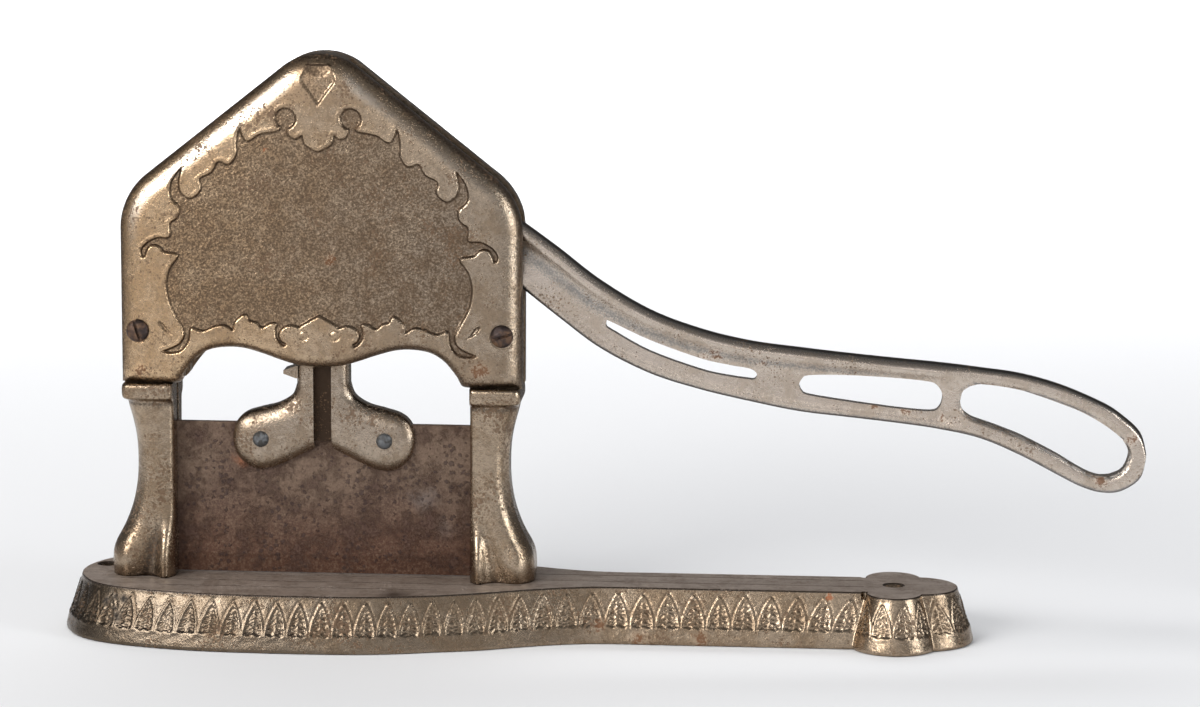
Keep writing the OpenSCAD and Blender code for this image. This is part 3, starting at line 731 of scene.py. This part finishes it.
def prism(points, y0, y1):
    """A flat shape drawn in X and Z, as thick as from y0 to y1."""
    bm = bmesh.new()
    face = bm.faces.new([bm.verts.new((x, y0, z)) for x, z in points])
    grown = bmesh.ops.extrude_face_region(bm, geom=[face])["geom"]
    moved = [g for g in grown if isinstance(g, bmesh.types.BMVert)]
    bmesh.ops.translate(bm, verts=moved, vec=(0, y1 - y0, 0))
    outward(bm)
    return bm


def inward_of(ring):
    """Unit vectors that point into a closed outline that runs counter-clockwise."""
    before = ring - np.roll(ring, 1, 0)
    after = np.roll(ring, -1, 0) - ring
    tangent = before/np.hypot(*before.T)[:, None] + after/np.hypot(*after.T)[:, None]
    tangent = tangent/np.hypot(*tangent.T)[:, None]
    return np.stack([-tangent[:, 1], tangent[:, 0]], 1)


def housing_outline(inset, low):
    """The gable's closed outline, moved inward."""
    coarse_x = half_width*np.sin(np.linspace(math.pi/2, -math.pi/2, 61))
    top = np.stack([coarse_x, roof_z(coarse_x)], 1)
    ring = np.vstack([top, [(-half_width, housing_low)], lower_path[::4][1:-1],
                      [(half_width, housing_low)]])
    depth = np.where((ring[:, 1] < 108) & (np.abs(ring[:, 0]) < half_width - 0.1), low, inset)
    return ring + inward_of(ring)*depth[:, None]


def cover_skin(columns, rows, roundness, carve=None):
    """The outer face of a cover on the -Y side, rounded to its edges, then closed to the lever's slot."""
    bm, u, v = net(columns, rows)
    s = 2*u - 1
    x = half_width*(0.7*s + 0.3*np.sin(math.pi/2*s))
    t = 0.75*v + 0.25*(0.5 - 0.5*np.cos(math.pi*v))
    low = np.interp(x, lower_path[:, 0], lower_path[:, 1])
    z = low + (roof_z(x) - low)*t
    drop = 6*roundness + 0.4
    from_side = reach(x, z, upper_path)
    from_low = reach(x, z, lower_path)
    near_side = np.clip(from_side/(9.5*roundness), 0, 1)
    near_low = np.clip(from_low/(5.6*roundness), 0, 1)
    swell = np.sqrt(1 - (1 - near_side)**2)*np.sqrt(1 - (1 - near_low)**2)
    face = cover_face - roundness*(1 - np.clip(from_side/26, 0, 1))**2
    depth = face - drop*(1 - swell)
    if carve:
        sunk, hollow = carve(x, z)
        raised = np.minimum(sunk, 0)*step(swell, 0.9, 0.98)
        depth = np.minimum(depth, face - np.maximum(sunk, 0)) - raised
        # Painted shade, with some dirt, darkens the cover's outer rim and its lower edge.
        rim_dirt_and_shade = np.maximum(0.7*step(from_side, 2.9, 0.6), 0.75*step(from_low, 4.2, 0.5))
        note(bm, np.maximum(hollow, rim_dirt_and_shade))
        # A painted highlight along the roof's rounding, weaker to the right.
        highlight_band = step(from_side, 1.6, 4.8)*step(from_side, 10.0, 5.2)
        note(bm, highlight_band*step(np.abs(x), 5.5, 13)*step(z, 128, 172)*(1 - step(x, 0, 30)*0.6), "painted_highlight")
    move_to(bm, x, -depth, z)
    smooth(bm)
    rim = [e for e in bm.edges if e.is_boundary]
    grown = bmesh.ops.extrude_edge_only(bm, edges=rim)["geom"]
    for vert in [g for g in grown if isinstance(g, bmesh.types.BMVert)]:
        vert.co.y = -slot_half
    cap(bm, lambda co: co.y > -slot_half - 0.01)
    outward(bm)
    bm = work(bm, prism(housing_outline(cover_wall + 2.4*roundness, 3.7), -cover_inside, -3))
    return work(bm, block((-50.5, -cover_inside, 85), (50.5, -3, 114.3)))


def build_back_cover():
    bm = cover_skin(130, 90, 0.55)
    flip(bm, (1, -1, 1))
    wall = prism(housing_outline(0, 0), -4.95, 5.5)
    wall = work(wall, prism(housing_outline(cover_wall, cover_wall), -6, 6))
    keep = prism([(-80, 122.3), (-80, 225), (10, 225), (10, 181), (-61.5, 122.3)], -7, 7)
    wall = work(wall, keep, "INTERSECT")
    return work(bm, wall, "UNION")


cover_back_finish = worn_nickel("back_cover_nickel", (0.36, 0.285, 0.21), tarnish=0.8, pitting=0.9,
                                rough=0.26)
fit(build_back_cover(), "back_cover_shell", "stand", cover_back_finish, ("back_cover",), 40)

# The lever is one long iron casting. Inside the housing it turns on a pin and carries a toothed
# sector; outside it drops away in an S to a finger loop. The handle is a thin web with a rounded
# flange on top, a bead below and two long slots to save weight, all nickelled.
exit_x = 73.5
exit_z = 152.0
handle_top = smooth_path([(-6, 3.6), (0, 0.3), (13, -9), (27.7, -20.2), (46, -30.9), (64.3, -37.6),
                          (82.5, -41.8), (100.7, -44), (119, -45.9), (137, -47.5), (151.5, -48.7),
                          (166, -50.3), (180.5, -52.2), (195, -56), (209.7, -62), (217, -66.3),
                          (224.5, -73.2), (227, -81.5)], 12)
handle_low = smooth_path([(-6, -20), (0, -24.5), (13.2, -34.8), (28, -45.6), (46.2, -54.6),
                          (64.5, -60.2), (82.8, -64.3), (101, -67.7), (119.4, -69.6), (137.6, -71.5),
                          (152, -73.4), (166.7, -76.5), (181.4, -82.5), (196, -90), (203.4, -93.6),
                          (210.7, -95.7), (218, -95.2), (225, -90.2), (227, -81.5)], 12)
first_slot = [(30.4, -35), (33, -36), (46.1, -42), (64.4, -48.4), (75, -50.7), (82, -51.8), (84.6, -53),
              (85.3, -54.6), (84.3, -56), (82, -55.9), (75, -55), (64.5, -52.8), (46.1, -46.4),
              (33, -39.3), (30.2, -37.3)]
second_slot = [(100.6, -57.7), (101.6, -55.5), (104.5, -54), (119.1, -53.7), (137.2, -54.5),
               (147.5, -55.5), (150.5, -56.7), (152.4, -59.5), (152.6, -62.5), (151.4, -65.3),
               (148.5, -66.6), (137.5, -65.9), (119.3, -63.7), (104.5, -61.5), (101.6, -60)]
finger_loop = [(159.1, -62.6), (160, -59), (162.6, -57), (166.2, -56.2), (173.5, -56.8), (180.7, -58.1),
               (188, -60.2), (195.3, -62.7), (202.6, -65.5), (209.9, -69.4), (217, -74.6), (220, -79),
               (220.4, -82.5), (217.7, -87.6), (210.5, -89.6), (203.2, -86.9), (195.9, -82.6),
               (188.5, -78.7), (181.2, -75.1), (173.9, -72.3), (166.6, -69.8), (162.9, -68.4),
               (160, -66)]


def ring_path(points):
    """A closed opening drawn through its points, as places in X and Z."""
    closed = smooth_path(points + points[:1], 4)[:-1]
    return closed + (exit_x, exit_z)


def build_lever():
    rows_top = np.array((0, 0.12, 0.4, 0.85, 1.5, 2.3, 3.1, 3.9, 4.8, 5.8, 7.0, 8.4))
    rows_low = np.array((5.2, 4.2, 3.3, 2.5, 1.8, 1.15, 0.6, 0.25, 0.08, 0))
    middle_rows = 24
    rows = len(rows_top) + len(rows_low) + middle_rows - 1
    bm, u, v = net(330, rows)
    along = -6 + 233*(0.62*u + 0.38*np.sin(u*math.pi/2))
    top = np.interp(along, handle_top[:, 0], handle_top[:, 1])
    low = np.interp(along, handle_low[:, 0], handle_low[:, 1])
    lean = np.gradient(handle_top[:, 1], handle_top[:, 0] + np.arange(len(handle_top))*1e-9)
    upright = np.cos(np.arctan(np.clip(np.interp(along, handle_top[:, 0], lean), -1.2, 0.2)))
    tall = np.maximum(top - low, 1e-4)
    squeeze = np.minimum(1, tall*upright/24)
    row = np.rint(v*rows).astype(int)
    from_top = np.append(rows_top, np.zeros(rows + 1 - len(rows_top)))[row]*squeeze/upright
    from_low = np.append(np.zeros(rows + 1 - len(rows_low)), rows_low)[row]*squeeze/upright
    start, end = rows_top[-1]*squeeze/upright, tall - rows_low[0]*squeeze/upright
    share = (row - len(rows_top) + 1)/(middle_rows + 1)
    fall = np.where(row > rows - len(rows_low), tall - from_low, start + (end - start)*share)
    fall = np.where(row < len(rows_top), from_top, fall)
    z = top - fall
    du = fall*upright
    dl = (tall - fall)*upright
    flange = np.interp(du, (*rows_top, 10, 12),
                       (0, 1.0, 1.95, 2.8, 3.6, 4.2, 4.48, 4.45, 4.0, 3.2, 2.65, 2.35, 2.12, 2.0))
    bead = np.interp(dl, rows_low[::-1],
                     (0, 0.9, 1.6, 2.3, 2.75, 2.85, 2.6, 2.3, 2.1, 2.0))
    thick = np.minimum(np.minimum(flange + bead - 2, flange*3), bead*3)
    loop = ring_path(finger_loop)
    hole = reach(along + exit_x, z + exit_z, np.vstack([loop, loop[:1]]))
    from_rim = np.clip(np.minimum(np.minimum(du, dl), hole + 0.5)/2.4, 0, 1)
    rim = 3.8*np.sqrt(1 - (1 - from_rim)**2)
    thick = thick + (rim - thick)*step(along, 150, 166)
    thick = np.where((row == 0) | (row == rows) | (u > 0.99999), 0, thick)
    move_to(bm, along + exit_x, -thick, z + exit_z)
    # Painted reflection and shade: a blue-grey band in the cove under the flange, and near-black along the
    # flange's top, the bead's underside and the finger loop's rims.
    cove_at = np.interp(along, (0, 60, 140), (9.2, 7.4, 6.0))
    cove_wide = np.interp(along, (0, 60, 140), (3.0, 1.7, 1.0))
    cove = 0.68*np.exp(-((du - cove_at)/cove_wide)**2)*step(along, 165, 110)
    edges = np.maximum(step(dl, 1.8, 0.7), step(du, 1.6, 0.5))
    edges = np.maximum(edges, step(hole, 1.1, 0.3)*step(along, 150, 166))
    note(bm, np.clip(np.maximum(cove, 0.92*edges), 0, 1))
    bmesh.ops.remove_doubles(bm, verts=[v for v in bm.verts if v.co.x > exit_x + 226.9], dist=0.01)
    bmesh.ops.mirror(bm, geom=bm.verts[:] + bm.edges[:] + bm.faces[:], merge_dist=0.0005, axis="Y")
    cap(bm, lambda co: co.x < exit_x - 5.9)
    bmesh.ops.dissolve_degenerate(bm, dist=0.0005, edges=bm.edges)
    outward(bm)
    smooth(bm)
    for opening in (first_slot, second_slot, finger_loop):
        bm = work(bm, prism(ring_path(opening), -8, 8))
    inside = bmesh.new()
    inside.from_mesh(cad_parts["lever"].data)
    bmesh.ops.scale(inside, vec=(1000, 1000, 1000), verts=inside.verts)
    bmesh.ops.remove_doubles(inside, verts=inside.verts, dist=0.001)
    bmesh.ops.bisect_plane(inside, geom=inside.verts[:] + inside.edges[:] + inside.faces[:], dist=0.0005,
                           plane_co=(71.5, 0, 0), plane_no=(1, 0, 0), clear_outer=True)
    cap(inside, lambda co: co.x > 71.49)
    for face in inside.faces:
        face.smooth = False
    joined = bpy.data.meshes.new("inside")
    inside.to_mesh(joined)
    inside.free()
    bm.from_mesh(joined)
    bpy.data.meshes.remove(joined)
    return bm


handle_marks = marks_at(brown_rust, (143.4, -2, 105.9, 4.5), (139.6, -2, 104.8, 2.5),
                        (160.6, -2, 102.5, 2.2), (194.4, -4, 98.6, 2.2), (201.9, -2, 87.4, 2.6),
                        (212.8, -2, 85.7, 3.4), (226.2, -2, 83, 2.6), (294.9, -3.5, 76.4, 3.6),
                        (283.8, -3.5, 61.5, 4.0))
# The blue-grey tint for the lever's hollows is a painted reflection and shade, not dirt.
lever_finish = worn_nickel("lever_nickel", (0.62, 0.535, 0.455), tarnish=0.1, pitting=0.25, rough=0.2,
                           hollows=0.75, dirt_and_shade_tint=(0.2, 0.208, 0.212, 1), patches=handle_marks)
fit(build_lever(), "lever_casting", "lever", lever_finish, ("lever",), 35)

# The knife carrier is an iron slide that the lever's sector drives up and down by the rack on its
# left edge. Its two rounded ears grip the top of the blade, and a groove runs down its middle.
ear_curve = smooth_path([(9.7, 92), (11.5, 87.5), (16.5, 84.2), (23, 82.4), (28.5, 80.6), (32, 77.5),
                         (33.6, 72.5), (33, 67), (30.2, 62.5), (25, 59.6), (18, 60.5), (9, 64.8),
                         (3.6, 67.5)], 6)
carrier_top = 143.38
rack_x = -12.5
rack_pitch = 6.2832


def build_carrier():
    front = [(9.4, -6.0), (7.8, -5.93), (6.2, -5.77), (4.7, -5.5), (3.4, -5.1), (2.3, -4.6), (1.4, -4.0),
             (0.7, -3.35), (0.2, -2.7), (0, -2.2)]
    profile = front + [(inset, -y) for inset, y in front[::-1]]
    whole = bmesh.new()
    for side in (1, -1):
        stem = [(3.3, carrier_top), (9.7, carrier_top), (9.7, 110), (9.7, 100), (9.7, 93)]
        outline = np.vstack([stem, ear_curve[:-1], [(3.3, 67.65), (3.3, 90)]])
        inward = -inward_of(outline)*(0.45 + 0.55*step(outline[:, 1], 93, 86))[:, None]
        inward[outline[:, 1] > 140] = 0
        inward[-2:] = ((0, 1), (0, 0))
        half = loft([[(x, y, z) for x, z in (outline + inward*inset).tolist()] for inset, y in profile])
        if side < 0:
            flip(half, (-1, 1, 1))
        whole = half if not whole.verts else work(whole, half, "UNION")
    whole = work(whole, block((-3.6, -2.5, 70.4), (3.6, 2.5, carrier_top)), "UNION")
    for i in range(-6, 2):
        z = 137 + (i - 0.5)*rack_pitch
        tooth = [(3.4, -2.26), (2.5, -2.26), (-2, -0.62), (-2, 0.62), (2.5, 2.26), (3.4, 2.26)]
        whole = work(whole, prism([(rack_x + a, z + b) for a, b in tooth], -4.5, 4.5), "UNION")
    # The middle bar between the ears is painted near-black: painted shade under the front cover, and bare
    # iron where the nickel did not reach.
    places = np.array([vert.co for vert in whole.verts])
    note(whole, np.where((np.abs(places[:, 0]) < 3.65) & (np.abs(places[:, 1]) < 2.55), 1.0, 0.0))
    return whole


carrier_finish = worn_nickel("carrier_nickel", (0.45, 0.37, 0.29), tarnish=0.5, pitting=0.7, rough=0.16,
                             hollows=0.9)
fit(build_carrier(), "carrier", "knife", carrier_finish, ("knife_carrier",), 38)


# The blade is a plain plate of carbon steel with a ground lower edge, brown all over with old rust
# that lies in dark blotches, rubbed to grey in the middle and heaviest along the edge.
def old_rust(name):
    f = Finish(name)
    broad = f.rise(f.noise(26.0, 6.0, 0.7), 0.4, 0.6)
    grain = f.noise(900.0, 6.0, 0.8)
    blotch = f.rise(f.noise(70.0, 9.0, 0.75) + (grain - 0.5)*0.4, 0.5, 0.6)
    spots = f.rise(f.noise(45.0, 6.0, 0.75)*1.7 - f.dots(380.0) - grain*0.9, 0.14, 0.24)
    edge = f.rise(f.axis("Z") + f.noise(50.0, 6.0, 0.7)*0.045, 0.08, 0.046)
    grey = f.spot((0.037, -0.001, 0.048), 0.009) + f.spot((0.0455, -0.001, 0.037), 0.008)
    colour = f.mix(broad, (0.165, 0.11, 0.076, 1), (0.105, 0.062, 0.042, 1))
    colour = f.mix(grey*0.45, colour, (0.22, 0.2, 0.19, 1))
    colour = f.mix(edge*0.8, colour, (0.085, 0.03, 0.014, 1))
    colour = f.mix(f.rise(grain, 0.5, 0.58)*0.45, colour, (0.25, 0.165, 0.112, 1))
    colour = f.mix(f.rise(grain, 0.48, 0.41)*0.5, colour, (0.05, 0.026, 0.018, 1))
    colour = f.mix(blotch*0.62, colour, (0.06, 0.027, 0.018, 1))
    colour = f.mix(spots*0.6, colour, (0.04, 0.021, 0.019, 1))
    flake = f.spot((-0.031, -0.001, 0.0625), 0.0045)
    colour = f.mix(flake*0.7, colour, (0.36, 0.12, 0.045, 1))
    return f.surface(colour, 0.5 + blotch*0.16 + spots*0.1, 0.4 - blotch*0.25 - spots*0.1,
                     grain*0.6 + spots*0.5 + blotch*0.4, 0.0004)


dress("knife_blade", old_rust("blade_rust"))


# Two soft steel rivets hold the blade in the ears. Their low heads are bare bluish grey, dented where
# they were hammered over, and alike on both sides of the carrier.
rivet_x = 22.8
rivet_z = 71.3


def turned(section, steps):
    """A piece turned about Y, from the radius and the height of each point of its section."""
    bm = bmesh.new()
    verts = [bm.verts.new((r, -y, 0)) for r, y in section]
    edges = [bm.edges.new(pair) for pair in zip(verts[:-1], verts[1:])]
    bmesh.ops.spin(bm, geom=verts + edges, cent=(0, 0, 0), axis=(0, 1, 0), angle=2*math.pi, steps=steps,
                   use_merge=True)
    bmesh.ops.remove_doubles(bm, verts=bm.verts, dist=0.0005)
    return bm


def build_rivet(x):
    bm = turned([(0, 7.22), (1.0, 7.18), (1.9, 7.0), (2.6, 6.6), (2.98, 6.1), (3.0, 5.0), (2.2, 4.6),
                 (2.2, 0)], 36)
    for vert in bm.verts:
        if vert.co.y < -6.5:
            vert.co.y += 0.09*math.sin(3*vert.co.x + x)*math.sin(2.6*vert.co.z)
    bmesh.ops.mirror(bm, geom=bm.verts[:] + bm.edges[:] + bm.faces[:], merge_dist=0.001, axis="Y")
    outward(bm)
    bmesh.ops.translate(bm, verts=bm.verts, vec=(x, 0, rivet_z))
    return bm


def bare_rivet(name):
    f = Finish(name)
    wear = f.rise(f.noise(500.0, 4.0), 0.4, 0.65)
    colour = f.mix(wear, (0.15, 0.155, 0.16, 1), (0.06, 0.056, 0.052, 1))
    return f.surface(colour, 0.45 + wear*0.2, 0.9 - wear*0.3, f.noise(700.0) + wear*0.5, 0.0002)


rivet_finish = bare_rivet("rivet_steel")
for name, x in (("rivet_left", -rivet_x), ("rivet_right", rivet_x)):
    fit(build_rivet(x), name + "_head", "knife", rivet_finish, (name,), 50)

# The front cover is the show side of the housing: a rounded iron shell with a scrolled border of
# leaves standing round a sunk, pebbled field, a tulip under the ridge and a nick in each lower corner.
cover_screw_x = 66.5
cover_screw_z = 112
field_half = [(0, 178.5), (-4.5, 181), (-5.6, 184.6), (-8, 183), (-10.6, 184.6), (-11.2, 187.6),
              (-13.6, 187.6), (-14.2, 186), (-16.5, 185.5), (-21.5, 184.5), (-25.5, 182), (-27.5, 184.5),
              (-28.5, 187.5), (-29.6, 184), (-30, 180.5), (-30, 177), (-32.5, 173.5), (-36.5, 174.5),
              (-39, 170.5), (-43.5, 168), (-43, 164), (-46.5, 161), (-50, 163.5), (-50.5, 167.5),
              (-49.5, 172.5), (-53.5, 167.5), (-54.5, 162.5), (-53.5, 160), (-51, 157.5), (-51.5, 154),
              (-54.5, 151.5), (-54.5, 146.8), (-58.5, 146.6), (-62.5, 144.8), (-65, 142), (-65, 139.5),
              (-63.4, 139), (-62.6, 141.4), (-61, 143.3), (-58.5, 143), (-56.5, 141), (-51.5, 140),
              (-54.5, 135.5), (-56, 130), (-55.5, 124.5), (-54.2, 120.5), (-52, 116.4), (-49.7, 111.8),
              (-50.8, 108.2), (-54.2, 106.1), (-57.6, 104.7), (-54.6, 103.9), (-50.6, 104.7),
              (-48, 107.6), (-47.2, 110.5), (-46.8, 113.4), (-44.5, 112.6), (-42, 112.3), (-37.5, 114.2),
              (-34.2, 114.3), (-31.4, 112.6), (-30.6, 115.8), (-27.2, 118.6), (-25.6, 116.2),
              (-23.3, 115.8), (-20.9, 113.8), (-17.8, 115.4), (-15.6, 115.4), (-16.3, 113.3),
              (-16, 110.2), (-14.6, 108.3), (-13, 107), (-11.9, 108.2), (-13.7, 109.4), (-14.4, 111.6),
              (-13.2, 113.7), (-10.6, 114.8), (-8, 114.3), (-7.2, 113.8), (-6, 115), (0, 118.4)]
tulip_half = [(0, 209.6), (-4.9, 209.4), (-5.2, 207.2), (-6.1, 203.8), (-3, 199.4), (-0.9, 196.4),
              (0, 195)]
corner_nick = [(-58.8, 115.4), (-57.2, 115), (-55, 112.2), (-53.4, 110.9), (-55.9, 112), (-57.6, 113.4)]
eye_x, eye_z, eye_r = 11.8, 190.2, 4.0


def inside_of(x, z, ring):
    """Distance inside a closed ring of points: positive within, negative outside."""
    within = np.zeros(x.shape, bool)
    for (ax, az), (bx, bz) in zip(ring, np.roll(ring, -1, 0)):
        crosses = (az > z) != (bz > z)
        within ^= crosses & (x < ax + (z - az)*(bx - ax)/(bz - az if bz != az else 1e-9))
    away = reach(x, z, np.vstack([ring, ring[:1]]))
    return np.where(within, away, -away)


def mirrored(half):
    path = smooth_path(half, 3)
    return np.vstack([path, (path*(-1, 1))[-2:0:-1]])


def scrolls(x, z):
    """How deep the field lies below the border at each point, and where dirt and painted shade darken it.
    """
    field = inside_of(x, z, mirrored(field_half))
    field = np.maximum(field, eye_r - np.hypot(np.abs(x) - eye_x, z - eye_z))
    nick = smooth_path(corner_nick + corner_nick[:1], 3)[:-1]
    cuts = np.maximum(inside_of(x, z, mirrored(tulip_half)), inside_of(-np.abs(x), z, nick))
    ground = step(field, -0.15, 0.45)
    nicks = step(cuts, -0.2, 0.35)
    scoop = np.clip(1 - (x/5.2)**2 - ((z - 209)/3.9)**2, 0, 1)
    lip = np.exp(-((field + 0.75)/0.55)**2)
    pebble = np.sin(2.7*x + 1.4*np.sin(1.6*z + 0.4*x))*np.sin(2.9*z + 1.2*np.sin(1.9*x))
    curl = np.exp(-((np.hypot(np.abs(x) - 5.7, z - 111.4) - 1.7)/0.36)**2)
    sunk = 1.1*ground + 0.9*nicks + 0.9*scoop + 0.45*curl - 0.12*lip + ground*pebble*0.07
    # The dark line at the field's edge and the dark bowl under the ridge are painted shade; the field,
    # nicks, cut rims and curls take dirt and painted shade.
    foot = np.exp(-((field - 0.3)/0.4)**2)
    rim_of_cuts = np.exp(-(cuts/0.35)**2)
    dirt_and_shade = 0.62*ground + 0.38*foot + 0.3*nicks + 0.6*rim_of_cuts + 0.5*curl + 0.4*step(scoop, 0, 0.4)
    return sunk, np.clip(dirt_and_shade, 0, 1)


def build_front_cover():
    bm = cover_skin(336, 262, 1.0, scrolls)
    for x in (-cover_screw_x, cover_screw_x):
        seat = bar(4.6, 4.6, -1.6, 1.6, (0, 0))
        lie = Matrix.Translation((x, -14.4, cover_screw_z)) @ Matrix.Rotation(math.pi/2, 4, "X")
        bmesh.ops.transform(seat, matrix=lie, verts=seat.verts)
        bm = work(bm, seat)
    return bm


cover_marks = marks_at(orange_rust, (-19.2, -13, 178.7, 2.4))
cover_marks += marks_at(brown_rust, (4.1, -13, 139, 4), (58.7, -13, 99.6, 5), (-65.8, -13, 97.5, 4))
# The cover is painted lighter and more golden towards its left, painted light, and whiter along the roof's
# rounding, a painted highlight.
cover_finish = worn_nickel("cover_nickel", (0.43, 0.345, 0.26), painted_light_left_tone=(0.64, 0.455, 0.28),
                           tarnish=0.45, pitting=0.8, rough=0.18, hollows=0.9, painted_highlight=0.6,
                           patches=cover_marks)
fit(build_front_cover(), "front_cover_shell", "stand", cover_finish, ("front_cover",))


# Two slotted steel screws hold the covers together through the posts of the legs. Their heads sit
# in shallow counterbores and are brown with rust.
def build_cover_screw(side):
    bm = turned([(0, 14.85), (1.4, 14.78), (2.6, 14.5), (3.5, 14.0), (4.05, 13.4), (4.2, 12.95),
                 (4.2, 12.85), (2.3, 12.8), (2.3, 5.2), (0, 5.2)], 40)
    outward(bm)
    slit = block((-6, -16, -0.55), (6, -13.3, 0.55))
    slit_turn = Matrix.Rotation(math.radians(72 if side < 0 else -15), 3, "Y")
    bmesh.ops.rotate(slit, cent=(0, 0, 0), matrix=slit_turn, verts=slit.verts)
    bm = work(bm, slit)
    bmesh.ops.translate(bm, verts=bm.verts, vec=(cover_screw_x*side, 0, cover_screw_z))
    return bm


screw_finish = dark_steel("screw_rust", (0.06, 0.045, 0.042, 1))
for name, side in (("cover_screw_left", -1), ("cover_screw_right", 1)):
    fit(build_cover_screw(side), name + "_head", "stand", screw_finish, (name,), 45)
